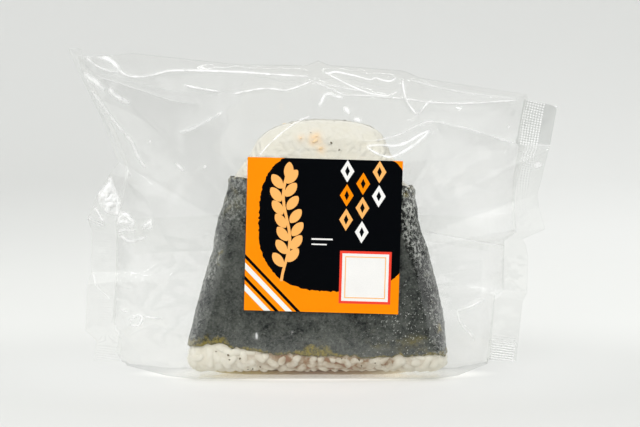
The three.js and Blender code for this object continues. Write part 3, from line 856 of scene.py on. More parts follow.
def makeCrimp(name, material):
    # level rows from the outer edge inward, as wide as the strip is there
    c, side = crimpSizes, crimpSides[name]
    corners = np.array(side["corners"], float)
    atRight = corners[:, 0].mean() > 0
    line = resampled(corners, c["step"] * 1.15)
    u = np.linspace(0, 1, int(round((line[:, 3].max() + c["overlap"][1]) / c["step"])))
    panel = np.clip(line[:, 1:2] - c["panelFrom"], 0, 1) * atRight
    overlap = c["overlap"][0] + (c["overlap"][1] - c["overlap"][0]) * panel
    reach = (line[:, 3:4] + overlap) * u[None, :]
    x = line[:, :1] + (-reach if atRight else reach)
    z = line[:, 1:2] + c["topSlope"] * reach * np.clip((line[:, 1:2] - 76) / 10, 0, 1) * panel
    y = stripMiddle(x.ravel(), z.ravel()).reshape(x.shape)
    y = y + 0.2 * layeredNoise(x, z + y, 5.0, 5) * np.sin(math.pi * u)[None, :]
    # how far in from the outer edge, and how far along it
    here = np.stack([x, y, z], 2)
    outer = here[:, 0]
    tangent = units(smoothed(np.gradient(outer, axis=0), 25))
    over = here - outer[:, None, :]
    shift = (over * tangent[:, None, :]).sum(2)
    inward = np.sqrt(np.maximum((over**2).sum(2) - shift**2, 0))
    up = lengthsAlong(outer)[:, None] + shift
    first = np.interp(z, (12, 16), (0.8, c["first"]))  # at the foot the crimp reaches the edge
    last = c["last"][0] + (c["last"][1] - c["last"][0]) * panel
    inside = np.clip((inward - first) / 0.3, 0, 1) * np.clip((last - inward) / 0.3, 0, 1)
    heights, strengths, columns, greys = np.array(side["bands"], float).T
    strength = np.interp(z, heights, strengths) * inside
    columnShare = np.interp(z, heights, columns) * 0.45
    rowWave = np.cos(2 * math.pi * up / c["rowPitch"])
    columnWave = np.cos(2 * math.pi * inward / c["columnPitch"])
    wave = (1 - columnShare) * rowWave + columnShare * columnWave
    relief = c["depth"] * strength * wave
    # painted highlight: the crimp's ridges are whitened where they would glint, over a base haze that also
    # lifts the seal's grey
    hazeAndPaintedLight = side["haze"] + strength * np.clip(wave * 1.8 - 0.3, 0, 1)
    hazeAndPaintedLight = np.maximum(hazeAndPaintedLight, markedLines(x, z, side["marks"]))
    if "crumple" in side:
        # crushed facets with painted highlights, bright and without a pattern
        loop = np.array(side["crumple"])
        border = awayFrom(x, z, resampled(np.vstack([loop, loop[:1]]), 0.3))
        crushed = np.where(insidePolygon(x, z, loop), np.clip(border / 1.2, 0, 1), 0)
        facets = layeredNoise(x * 1.2 + 7, z, 2.8, 44, 2)
        relief = relief + 0.7 * crushed * np.abs(facets)
        hazeAndPaintedLight = np.maximum(hazeAndPaintedLight, crushed * np.clip(0.95 + 0.5 * facets, 0.35, 1.15))
    normal = units(np.cross(np.gradient(here, axis=1), np.gradient(here, axis=0)))
    normal = np.where(normal[:, :, 1:2] > 0, -normal, normal)
    middle = here + normal * relief[:, :, None]
    piece = closedSheet(name, middle + normal * c["thick"] / 2, middle - normal * c["thick"] / 2, material)
    addSheetValues(piece, "hazeAndPaintedLight", hazeAndPaintedLight)
    addSheetValues(piece, "shade", np.interp(z, heights, greys))
    return piece


# ---- back fin ----

finSizes = {
    "low": 38.2,
    "high": 50.0,
    "from": -58.0,
    "to": 57.0,
    "thick": 0.06,
    "rise": (38.0, 41.5, 0.13),  # right of the first, the lower edge comes down from the second by the third
    "mostBack": 17.15,  # it stays within the pack's own depth
}


def makeFin():
    f = finSizes
    xs = np.arange(f["from"], f["to"], 0.6)
    start, edge, fall = f["rise"]
    low = np.where(xs < 0, f["low"], np.clip(edge - fall * (xs - start), f["low"], edge))
    low = low + 0.12 * latticeNoise(xs, 0 * xs, 7.0, 3)
    x, share = np.meshgrid(xs, np.linspace(0, 1, 17), indexing="ij")
    z = low[:, None] + (f["high"] - low)[:, None] * share
    # it lies over small folds and doesn't follow them
    y = smoothed(filmDepth(x.ravel(), z.ravel(), 1)[0].reshape(x.shape), 9)
    y = y + 0.12 + 0.08 * layeredNoise(x, z, 9.0, 91)
    lift = (1 - share) ** 3 * 0.2  # the free lower edge curls off
    y = np.minimum(y + lift, f["mostBack"] - f["thick"])
    ribs = 0.04 * np.cos(2 * math.pi * z / 1.1) * (np.abs(share - 0.5) < 0.3)
    rear = np.stack([x, y + ribs, z], 2)
    skin = makeFilmMaterial("weldedFin", 300.0, 0.0002, 0.6, welded=True, mirrorShare=0.3)
    piece = closedSheet("backFin", rear + np.array([0, f["thick"], 0]), rear, skin)
    addSheetValues(piece, "hazeAndPaintedLight", np.full(x.shape, 0.03))
    return piece


# ---- rice ----

riceSizes = {
    "inset": 0.75,  # the core's surface inside the pack's own rice form
    "lift": 2.1,  # it stands on folds of the film
    "spokes": 260,
    "grainLength": 4.5,
    "grainWidth": 2.9,
    "grainSpacing": {"foot": 2.3, "dome": 1.75},
    "sunk": (0.72, 0.86),  # how much of a grain's thickness is in the core, at the foot and above
    "under": 1.3,  # how much deeper the grains lie that the seaweed covers
    "lowest": 1.5,  # no grain reaches below this height
    "mostHalf": 16.1,  # or farther forward or back than this, which keeps it inside the film
    "softness": (0.42, 0.82),  # how far the shading leaves each grain's own form, at the foot and above
    "evenLight": (0.9, 0.52),  # above the seaweed, how far and how steeply the shading turns upward
}


def riceSection(dx, dz, inset):
    # distance from the heart and half thickness, from the face's middle to the side
    bend = riceBend(dz)
    reach = riceReach(dx, dz) - inset
    half = packSizes["riceHalfThick"] - inset
    rows = []
    for share in (0.04, 0.1, 0.18, 0.27, 0.36, 0.45, 0.54, 0.62, 0.7, 0.78, 0.85, 0.91, 0.96, 1.0):
        rows.append(((reach - bend) * share, np.full_like(reach, half)))
    turns = 9
    for k in range(1, turns + 1):
        turn = math.pi / 2 * (1 - k / turns)
        rows.append((reach - bend + bend * math.cos(turn), half - bend + bend * math.sin(turn)))
    for share in (0.66, 0.33, 0.0):
        rows.append((reach, np.maximum(half - bend, 0) * share))
    return rows


def riceSkin(inset):
    count, (heartX, heartZ) = riceSizes["spokes"], packSizes["heart"]
    # evenly spaced round the outline
    turns = np.linspace(-math.pi, math.pi, 4000, endpoint=False)
    reach = riceReach(np.cos(turns), np.sin(turns))
    x, z = reach * np.cos(turns), reach * np.sin(turns)
    length = np.concatenate([[0], np.cumsum(np.hypot(np.diff(x), np.diff(z)))])
    turn = np.interp(np.linspace(0, length[-1], count, endpoint=False), length, turns)
    dx, dz = np.cos(turn), np.sin(turn)
    section = riceSection(dx, dz, inset)
    rings = [(at, -half) for at, half in section] + section[-2::-1]
    face = packSizes["riceHalfThick"] - inset
    points = [[[heartX, -face, heartZ]]]
    points += [np.stack([heartX + dx * at, y, heartZ + dz * at], 1) for at, y in rings]
    points = np.vstack(points + [[[heartX, face, heartZ]]])
    # the foot stands a little higher, the top stays
    points[:, 2] += riceSizes["lift"] * np.clip(1 - points[:, 2] / 30, 0, 1)
    # but nowhere wider than the ball is at that height
    middle = riceMiddle(points[:, 2])
    limit = np.where(points[:, 2] > 6, riceHalfWidth(points[:, 2]) - inset, 60)
    points[:, 0] = middle + np.clip(points[:, 0] - middle, -limit, limit)
    faces = []
    for i in range(count):
        j = (i + 1) % count
        faces.append([0, 1 + i, 1 + j])
        for a in range(1, 1 + (len(rings) - 1) * count, count):
            faces.append([a + i, a + count + i, a + count + j, a + j])
        a = 1 + (len(rings) - 1) * count
        faces.append([a + i, len(points) - 1, a + j])
    return points, faces


# How wide the wrapped ball is against the pack's form: height, share.
waistLeft = [(12, 1.025), (22, 1.012), (30, 1.0), (41, 0.967), (51, 0.974), (55.5, 0.943), (58, 0.94),
             (61.5, 0.98), (64, 1.05)]
waistRight = [(12, 1.028), (22, 1.04), (28, 1.03), (33, 1.015), (40.5, 0.997), (43, 0.977), (46.7, 0.956),
              (53, 0.947), (57, 0.95), (60.6, 0.99), (64, 1.04)]


def waisted(x, z, most):
    # x moved in or out so that the sides follow the waist
    middle = riceMiddle(z)
    left, right = np.array(waistLeft), np.array(waistRight)
    share = np.where(x < middle, np.interp(z, left[:, 0], left[:, 1]), np.interp(z, right[:, 0], right[:, 1]))
    share = np.minimum(share, most)
    outward = np.clip(np.abs(x - middle) / np.maximum(riceHalfWidth(z), 1), 0, 1) ** 3
    return middle + (x - middle) * (1 + (share - 1) * outward)


def noriTop(x, y):
    slope = np.where(np.asarray(x, float) < 0, 0.028, 0.055)
    front = 63.6 - slope * x
    side = 62.4 - slope * x
    share = np.clip((np.asarray(y, float) + 16) / 10, 0, 1)
    return front + (side - front) * share + 0.35 * layeredNoise(x, y, 4.0, 8, 2)


noriFoot = [(-60, 12.6), (-39, 12.4), (-35, 11.6), (-28, 11.8), (-22, 11.2), (-14, 9.2), (-8, 8.8), (0, 8.3),
            (10, 8.1), (18, 7.8), (26, 8.3), (31, 9.0), (37, 8.4), (41, 8.0), (60, 9.5)]


def noriBottom(x, y):
    foot = np.array(noriFoot)
    base = np.interp(x, foot[:, 0], foot[:, 1])
    # behind, the edge lies a little higher and even
    share = np.clip((np.asarray(y, float) + 16) / 32, 0, 1)
    base = base * (1 - share) + (9.0 + 0.02 * x) * share
    return base + 0.6 * layeredNoise(x, y, 3.2, 21) + 0.45 * latticeNoise(x, y, 1.1, 29)


def faceNormals(points, faces):
    normals = np.zeros_like(points)
    for f in faces:
        a, b, c = points[f[0]], points[f[1]], points[f[2]]
        n = np.cross(b - a, c - a)
        for v in f:
            normals[v] += n
    return normals / np.maximum(np.linalg.norm(normals, axis=1), 1e-9)[:, None]


def lumpFaces(rings, sides):
    # faces round a lump of points in rings, with one point at each end
    faces, last = [], 1 + (rings - 2) * sides
    for j in range(sides):
        k = (j + 1) % sides
        faces.append((0, 1 + k, 1 + j))
        for a in range(1, last, sides):
            faces.append((a + j, a + k, a + sides + k, a + sides + j))
        faces.append((last + j, last + k, last + sides))
    return faces


def grainShape(rings=7, sides=8):
    # a cooked grain: long, blunt, slightly bent and flattened, about one unit long
    points = [(-0.5, 0, 0)]
    for k in range(1, rings):
        t = math.pi * k / rings
        x = -0.5 * math.cos(t)
        r = 0.5 * math.sin(t) ** 0.62
        for j in range(sides):
            a = 2 * math.pi * j / sides
            points.append((x, r * math.cos(a) + 0.10 * (1 - (2 * x) ** 2) - 0.05, r * math.sin(a)))
    return np.array(points + [(0.5, 0, 0)]), lumpFaces(rings, sides)


def scatterOn(points, faces, spacing, wanted, seed):
    # evenly loose spots over a skin, wherever wanted says so
    draws = np.random.default_rng(seed)
    corners = [[f[0], f[1], f[2]] for f in faces] + [[f[0], f[2], f[3]] for f in faces if len(f) == 4]
    a, b, c = points[np.array(corners).T]
    cross = np.cross(b - a, c - a)
    area = np.linalg.norm(cross, axis=1) / 2
    tries = int(area.sum() / spacing**2 * 6)
    chosen = draws.choice(len(area), tries, p=area / area.sum())
    u, v = draws.random(tries), draws.random(tries)
    u, v = np.where(u + v > 1, 1 - u, u), np.where(u + v > 1, 1 - v, v)
    spots = a[chosen] + (b[chosen] - a[chosen]) * u[:, None] + (c[chosen] - a[chosen]) * v[:, None]
    normals = cross[chosen] / np.maximum(area[chosen] * 2, 1e-9)[:, None]
    keep, cells = [], {}
    for i in np.nonzero(wanted(spots))[0]:
        key = np.floor(spots[i] / spacing).astype(int)
        around = (cells.get(tuple(key + step), ()) for step in itertools.product((-1, 0, 1), repeat=3))
        if not any(np.sum((spots[i] - spots[j]) ** 2) < spacing**2 for j in itertools.chain(*around)):
            keep.append(i)
            cells.setdefault(tuple(key), []).append(i)
    return spots[keep], normals[keep]


def makeRiceMaterial(name, pale, warm, stainAndShade):
    material, tree = newMaterial(name)
    place, split = readPlace(tree)
    height = split["Z"]
    tone = addMottle(tree, 110.0, 420.0, 0.45)
    colour = addMix(tree, tone, pale, warm)
    # juice from the filling stains the foot of the ball, and the same colour paints shade there
    spread = addRange(tree, addNoise(tree, place, 330.0, 3.0, 0.6), 0.35, 0.62, 0.5, 1, True)
    soaked = product(tree, readValue(tree, "stainAndShade"), spread)
    colour = addMix(tree, soaked, colour, stainAndShade)
    colour = addMix(tree, addRange(tree, soaked, 0.9, 1.6), colour, (0.25, 0.10, 0.05))
    # flesh of the filling shows softly through the top
    colour = addMix(tree, product(tree, readValue(tree, "orange"), spread), colour, (0.93, 0.60, 0.27))
    # painted light: the foot is a little paler, the very top is darker, and its thin rim is paler again,
    # evening out the ball's shading and standing in for light through its rim
    shade = total(tree, addRange(tree, height, 0.014, 0.03, 1.08, 1.055),
                  addRange(tree, height, 0.0705, 0.0755, 0, -0.135))
    colour = addVectorMath(tree, "SCALE", first=colour, scale=shade).outputs[0]
    rim = product(tree, addRange(tree, readFacing(tree), 0.45, 0.95, 0, 0.3),
                  addRange(tree, height, 0.05, 0.06))
    colour = addMix(tree, rim, colour, (0.90, 0.895, 0.85))
    # cooked rice lets light through, so its shading follows the whole ball more than each grain
    own = addNode(tree, "ShaderNodeNewGeometry").outputs["Normal"]
    share = addRange(tree, height, 0.012, 0.03, *riceSizes["softness"])
    blend = addNode(tree, "ShaderNodeMix", {0: share, 4: own, 5: readValue(tree, "outward", "Vector")},
                    data_type="VECTOR").outputs[1]
    soft = addVectorMath(tree, "NORMALIZE", first=blend).outputs[0]
    bump = addBump(tree, addNoise(tree, place, 1400.0), 0.3, 0.0002, {"Normal": soft})
    addSkin(tree, colour, addRange(tree, tone, 0, 1, 0.3, 0.5), 0.25, {"Normal": bump})
    return material


# Spots on the front of the rice, as seen: x, z, radius across and up, strength.
# Stains redden past 1. The orange ones are the filling's flesh, above the label.
riceStains = [(-9.0, 4.2, 3.0, 2.4, 1.35), (-1.8, 3.9, 1.5, 2.6, 2.0), (23.9, 3.7, 2.6, 1.9, 1.4),
              (5, 2.2, 7, 1.2, 1.2)]
orangeSpots = [(0.5, 75.5, 1.9, 1.9, 1.0), (1.0, 77.0, 1.0, 1.0, 0.7), (2.4, 72.7, 1.3, 1.3, 0.9),
               (-4.1, 76.0, 1.3, 1.3, 0.6)]
# How stained the foot of the front is along the pack, partly juice and partly painted shade: x, strength.
footStain = [(-45, 0.0), (-30, 0.1), (-22, 0.3), (-17, 0.5), (-11, 0.85), (0, 1.1), (8, 1.05), (15, 0.9),
             (25, 0.5), (34, 0.25), (42, 0.05)]


def spotted(points, spots):
    # the strongest of the spots at each point of the front
    x, y, z = points.T
    found = np.zeros(len(points))
    for seenX, seenZ, across, up, strength in spots:
        (spotX,), (spotZ,) = ontoFront(seenX, seenZ, 1.0)
        found = np.maximum(found, strength * spotAt(x, z, spotX, spotZ, across, up))
    return found * (y < 0)


def stainAt(points):
    x, y, z = points.T
    # painted shade with the juice: darker low on the front, most in the middle
    broad = np.interp(x, *np.array(footStain).T) * np.clip((16 - z) / 4, 0, 1) * np.clip(-y / 8, 0, 1)
    broad = broad * (1 + 0.35 * latticeNoise(x, z, 2.6, 83))
    # the wet line along the foot
    line = np.clip((3.6 - z) / 1.0, 0, 1) * np.clip((30 - np.abs(x + 1)) / 9, 0, 1)
    return np.maximum(np.maximum(spotted(points, riceStains), broad), line * 1.1)


def riceWaisted(x, z):
    # the shoulder above the seaweed's right corner stands back
    back = np.interp(z, (16, 59, 61.5, 64, 67), (1.02, 1.0, 0.92, 0.92, 1.0))
    foot = np.interp(z, (11, 16), (1.02, 1.0))
    left = np.interp(z, (75, 77, 79, 81), (1.0, 0.95, 0.9, 0.82))
    return waisted(x, z, np.minimum(foot, np.where(x > riceMiddle(z), back, left)))


def evenlyLit(points, outs):
    # light spreads through the top of the ball, so its shading turns one way
    share, steep = riceSizes["evenLight"]
    share = share * np.clip((points[:, 2] - 30) / 25, 0, 1)[:, None]
    ahead = np.tanh(points[:, 1] / 6)
    whole = np.stack([np.zeros_like(ahead), ahead * math.cos(steep), np.full_like(ahead, math.sin(steep))], 1)
    mixed = outs * (1 - share) + whole * share
    return mixed / np.linalg.norm(mixed, axis=1)[:, None]


def placeGrains(spots, outs):
    # the grains' points and faces, which way each point's grain stands out, and how deep each point lies
    s = riceSizes
    draws = np.random.default_rng(17)
    shape, grainFaces = grainShape()
    points, faces, sunkAt = [], [], []
    for spot, out in zip(spots, outs):
        turn = draws.uniform(0, 2 * math.pi)
        helper = np.array([0, 0, 1.0]) if abs(out[2]) < 0.9 else np.array([1.0, 0, 0])
        side = unit(np.cross(helper, out))
        long = side * math.cos(turn) + np.cross(out, side) * math.sin(turn)
        long = unit(long + out * draws.normal(0, 0.10))
        wide = unit(np.cross(out, long))
        deep = np.cross(long, wide)
        length = s["grainLength"] * draws.uniform(0.82, 1.1)
        width = s["grainWidth"] * draws.uniform(0.85, 1.12)
        thick = width * draws.uniform(0.72, 0.9)
        sunk = np.interp(spot[2], (8, 20), s["sunk"])
        loose = abs(draws.normal(0, 0.12)) * np.interp(spot[2], (8, 20), (1, 0.3))
        centre = spot - out * (thick * (sunk - 0.5) + loose)
        x, y, z = shape[:, :1], shape[:, 1:2], shape[:, 2:]
        placed = centre + x * length * long + y * width * wide + z * thick * deep
        faces += [[v + len(points) * len(shape) for v in f] for f in grainFaces]
        points.append(placed)
        sunkAt.append((spot - placed) @ out)
    return np.vstack(points), faces, np.repeat(outs, len(shape), axis=0), np.concatenate(sunkAt)


def makeRice():
    s = riceSizes
    bare, faces = riceSkin(s["inset"])
    normals = faceNormals(bare, faces)
    dent = layeredNoise(bare[:, 0] + bare[:, 1] * 0.7, bare[:, 2] + bare[:, 1] * 0.4, 3.6, 61)
    points = bare + normals * (dent * 0.15 - 0.05)[:, None]
    points[:, 0] = riceWaisted(points[:, 0], points[:, 2])
    skin = makeRiceMaterial("riceCoreSurface", (0.725, 0.695, 0.605), (0.70, 0.66, 0.54), (0.26, 0.17, 0.09))
    core = addPiece("riceCore", points, faces, skin)

    def atFoot(p):
        return p[:, 2] < noriBottom(p[:, 0], p[:, 1]) + 2.0

    def atDome(p):
        return p[:, 2] > noriTop(p[:, 0], p[:, 1]) - 2.5

    sets = [scatterOn(bare, faces, s["grainSpacing"]["foot"], atFoot, 5),
            scatterOn(bare, faces, s["grainSpacing"]["dome"], atDome, 6)]
    spots, outs = (np.vstack(found) for found in zip(*sets))
    cloud, grainFaces, grainOuts, sunkAt = placeGrains(spots, outs)
    top, bottom = noriTop(cloud[:, 0], cloud[:, 1]), noriBottom(cloud[:, 0], cloud[:, 1])
    covered = np.minimum(cloud[:, 2] - bottom, top - cloud[:, 2])
    cloud = cloud - grainOuts * (s["under"] * np.clip((covered + 0.9) / 1.2, 0, 1))[:, None]
    cloud[:, 2] = np.maximum(cloud[:, 2], s["lowest"])
    cloud[:, 1] = np.clip(cloud[:, 1], -s["mostHalf"], s["mostHalf"])
    cloud[:, 0] = riceWaisted(cloud[:, 0], cloud[:, 2])
    skin = makeRiceMaterial("riceGrainSurface", (0.735, 0.71, 0.63), (0.715, 0.68, 0.56),
                            (0.31, 0.225, 0.135))
    grains = addPiece("riceGrains", cloud, grainFaces, skin)
    # the stain is stronger on the grains' deeper points
    byDepth = np.interp(sunkAt, (-0.5, 1.2), (0.6, 1.5))
    for piece, outward, share in ((core, normals, 1.2), (grains, grainOuts, byDepth)):
        places = np.array([v.co for v in piece.data.vertices]) / metresPerMm
        addValues(piece, "stainAndShade", np.clip(stainAt(places) * share, 0, 2))
        addValues(piece, "orange", spotted(places, orangeSpots))
        addValues(piece, "outward", evenlyLit(places, outward))
    print("rice:", len(spots), "grains,", len(grainFaces), "faces")
    return core, grains, bare, faces


juiceSizes = {
    # half length, half depth and height of each ring, and where their middle is
    "rings": [(27.0, 8.6, 1.1), (29.5, 10.2, 1.25), (31.5, 10.9, 1.6), (33.0, 11.3, 2.2), (33.4, 11.4, 2.9)],
    "middle": -0.6,
    # its colour along the pack
    "colours": [(-34, (0.60, 0.53, 0.33)), (-24, (0.36, 0.27, 0.10)), (-14, (0.22, 0.14, 0.04)),
                (0, (0.12, 0.045, 0.008)), (15, (0.20, 0.11, 0.035)), (26, (0.60, 0.51, 0.36)),
                (34, (0.80, 0.76, 0.66))],
    "power": 4.0,
    "points": 240,
}


def makeJuice():
    # starch and juice that has gathered under the ball
    j = juiceSizes
    n, tints = j["points"], j["colours"]
    turns = np.linspace(0, 2 * math.pi, n, endpoint=False)
    c, s = np.cos(turns), np.sin(turns)
    form = (np.abs(c) ** j["power"] + np.abs(s) ** j["power"]) ** (-1 / j["power"])
    wave = 0.25 * layeredNoise(c * 40 + 60, s * 30, 5.0, 19)
    points, faces = [], []
    for wide, deep, z in j["rings"]:
        x, y = j["middle"] + (wide + wave) * c * form, (deep + wave) * s * form
        points.append(np.stack([x, y, np.full_like(c, z)], 1))
    for a in range(0, (len(points) - 1) * n, n):
        for i in range(n):
            k = (i + 1) % n
            faces.append([a + i, a + k, a + n + k, a + n + i])
    faces += [list(range(n))[::-1], list(range((len(points) - 1) * n, len(points) * n))]
    material, tree = newMaterial("riceJuiceSurface")
    _, split = readPlace(tree)
    soft = addMottle(tree, 60.0, 400.0, 0.4)
    first, last = tints[0][0], tints[-1][0]
    along = addRange(tree, split["X"], first * metresPerMm, last * metresPerMm)
    ramp = addNode(tree, "ShaderNodeValToRGB", {0: along})
    stops = ramp.color_ramp.elements
    while len(stops) < len(tints):
        stops.new(0.5)
    for stop, (x, tint) in zip(stops, tints):
        stop.position = (x - first) / (last - first)
        stop.color = (*tint, 1)
    # thinner and paler toward the floor
    thin = addRange(tree, split["Z"], 0.0012, 0.0020, 0.2, 0, True)
    colour = addMix(tree, total(tree, product(tree, soft, 0.15), thin), ramp.outputs[0], (0.72, 0.66, 0.52))
    addSkin(tree, colour, 0.35, 0.2, {"Normal": addBump(tree, soft, 0.3, 0.0003)})
    return addPiece("riceJuice", np.vstack(points), faces, material)


# ---- seaweed ----

noriSizes = {
    "outside": -0.27,  # its outer face against the pack's rice form
    "thick": 0.32,
    "columns": 400,
    "rows": 96,
    "bump": 0.22,
    "fringe": [(-41, 3.0), (-33, 3.4), (-28, 2.8), (-23, 1.1), (-10, 0.8), (-6, 1.0), (-3, 3.4), (3, 4.6),
               (7, 1.2), (10, 0.6), (36, 0.6), (41, 2.0)],
    "band": [(10, 38.6), (20, 37.5), (24, 36.6), (27.2, 35.3), (33.8, 32.7), (41.1, 30.3), (46, 28.2),
             (52, 26.5), (66, 26)],
    # dark spots by the right edge: x, z, radius across and up
    "spots": [(35.6, 40.5, 0.9, 1.2), (33.7, 47.4, 0.9, 2.2), (30.6, 58.5, 0.8, 0.8)],
    "oliveSpots": [(-29.4, 39.6, 1.3, 2.2, 0.45), (39.9, 16.6, 0.9, 1.6, 0.9), (29.0, 59.3, 1.8, 1.0, 0.8)],
    "mostHalf": 16.25,  # it stays inside the film
}


def riceDepth(x, z, inset):
    # half the rice's thickness at a point of the front view
    dx, dz, at = fromHeart(x, z)
    bend = riceBend(dz)
    over = np.clip(at - (riceReach(dx, dz) - inset - bend), 0, bend)
    return packSizes["riceHalfThick"] - inset - bend + np.sqrt(bend**2 - over**2)


def noriRing(z, inset, count):
    # level sections of the rice at heights z, as points at even shares of their girth
    out = np.zeros((len(z), count, 2))
    shares = np.concatenate([np.linspace(-1, -0.8, 40), np.linspace(-0.79, 0.79, 60),
                             np.linspace(0.8, 1, 40)])
    for r, height in enumerate(z):
        x = riceMiddle(height) + (float(riceHalfWidth(height)) - inset) * shares
        y = riceDepth(x, np.full_like(x, height), inset)
        loop = np.concatenate([np.stack([x, -y], 1), np.stack([x[::-1], y[::-1]], 1)])
        loop[:, 0] = waisted(loop[:, 0], np.full(len(loop), height), 2.0)
        loop = np.vstack([loop, loop[:1]])
        lengths = lengthsAlong(loop)
        out[r] = pointsAt(np.arange(count) / count * lengths[-1], lengths, loop)
    return out


noriLook = {
    "dark": (0.010, 0.0125, 0.012),
    "middle": (0.114, 0.121, 0.108),
    "olive": (0.15, 0.125, 0.035),
    "fringe": (0.235, 0.19, 0.045),
    "paleSpeckAndSheen": (0.55, 0.56, 0.52),
    "band": (0.006, 0.007, 0.006),
}


def makeNoriMaterial():
    material, tree = newMaterial("seaweedSheet")
    place = addNode(tree, "ShaderNodeTexCoord").outputs["Object"]
    # small wrinkles lie level, so their pattern is drawn out along the pack
    drawn = addNode(tree, "ShaderNodeMapping", {"Vector": place, "Scale": (0.45, 0.45, 1.0)}).outputs[0]
    large, small = addNoise(tree, place, 70.0, 4.0, 0.6, 0.5), addNoise(tree, place, 260.0, 3.0, 0.6)
    grain = addNoise(tree, place, 1300.0, 3.0, 0.65)
    speckledSide, edgeNear = readValue(tree, "sideNear"), readValue(tree, "edgeNear")
    tone = total(tree, product(tree, large, 0.34), product(tree, small, 0.30), product(tree, grain, 0.36))
    calm = addRange(tree, tone, 0.37, 0.63, 0.0, 1.06)
    rough = addRange(tree, tone, 0.45, 0.57, 0, 1.1, True)
    share = total(tree, calm, product(tree, speckledSide, addMath(tree, "SUBTRACT", rough, calm)))
    colour = addMix(tree, share, noriLook["dark"], noriLook["middle"])
    # thin places, where the rice shows warm through the sheet
    thin = product(tree, addRange(tree, addNoise(tree, place, 48.0, 4.0, 0.6, 0.4), 0.56, 0.70, 0, 1, True),
                   addRange(tree, small, 0.42, 0.62), 0.8)
    colour = addMix(tree, thin, colour, noriLook["olive"])
    torn = addRange(tree, addNoise(tree, place, 420.0, 3.0, 0.65), 0.3, 0.7, -0.75, 0.45)
    torn = total(tree, edgeNear, torn)
    fringe = product(tree, addRange(tree, torn, 0.05, 0.8, 0, 1, True), addRange(tree, edgeNear, 0, 0.2),
                     addRange(tree, grain, 0.38, 0.58, 0.25, 1))
    colour = addMix(tree, fringe, colour, noriLook["fringe"])
    # a dark grainy band down the right edge
    band = product(tree, readValue(tree, "bandNear"), addRange(tree, grain, 0.40, 0.62, 1, 0.3, True))
    colour = addMix(tree, band, colour, noriLook["band"])
    # pale specks and dark pits in grains, where the speckled-side mask is high
    speckle = addNoise(tree, place, 900.0, 3.0, 0.7)
    paleSpecks = addRange(tree, speckle, 0.51, 0.57, 0, 1, True)
    pits = addRange(tree, speckle, 0.41, 0.48, 1, 0, True)
    colour = addMix(tree, product(tree, pits, speckledSide), colour, noriLook["band"])
    paleSpeckAndSheen = product(tree, paleSpecks, addRange(tree, large, 0.36, 0.62, 0.3, 1, True), speckledSide,
                    addMath(tree, "SUBTRACT", 1.0, product(tree, band, 0.85)))
    # painted sheen: palest where it turns away at its sides
    pale = product(tree, addRange(tree, readFacing(tree), 0.45, 0.97, 0, 0.62),
                   addRange(tree, addNoise(tree, drawn, 760.0, 3.0, 0.7), 0.43, 0.56, 0.1, 1))
    paleSpeckAndSheen = addMath(tree, "MAXIMUM", paleSpeckAndSheen, pale)
    colour = addMix(tree, product(tree, paleSpeckAndSheen, 0.84), colour, noriLook["paleSpeckAndSheen"])
    # painted glints: sparse bright flecks, most at the lower right
    glintSpark = addRange(tree, addNoise(tree, place, 1700.0, 1.0), 0.655, 0.70, 0, 1, True)
    fleck = product(tree, glintSpark, addRange(tree, readValue(tree, "glintNear"), 0, 1, 0.1, 0.75))
    colour = addMix(tree, fleck, colour, noriLook["paleSpeckAndSheen"])
    wrinkles = total(tree, small, product(tree, addNoise(tree, drawn, 420.0), 0.5))
    addSkin(tree, colour, addRange(tree, small, 0.35, 0.65, 0.45, 0.75), 0.0,
            {"Normal": addBump(tree, wrinkles, 0.4, 0.0005)})
    return material


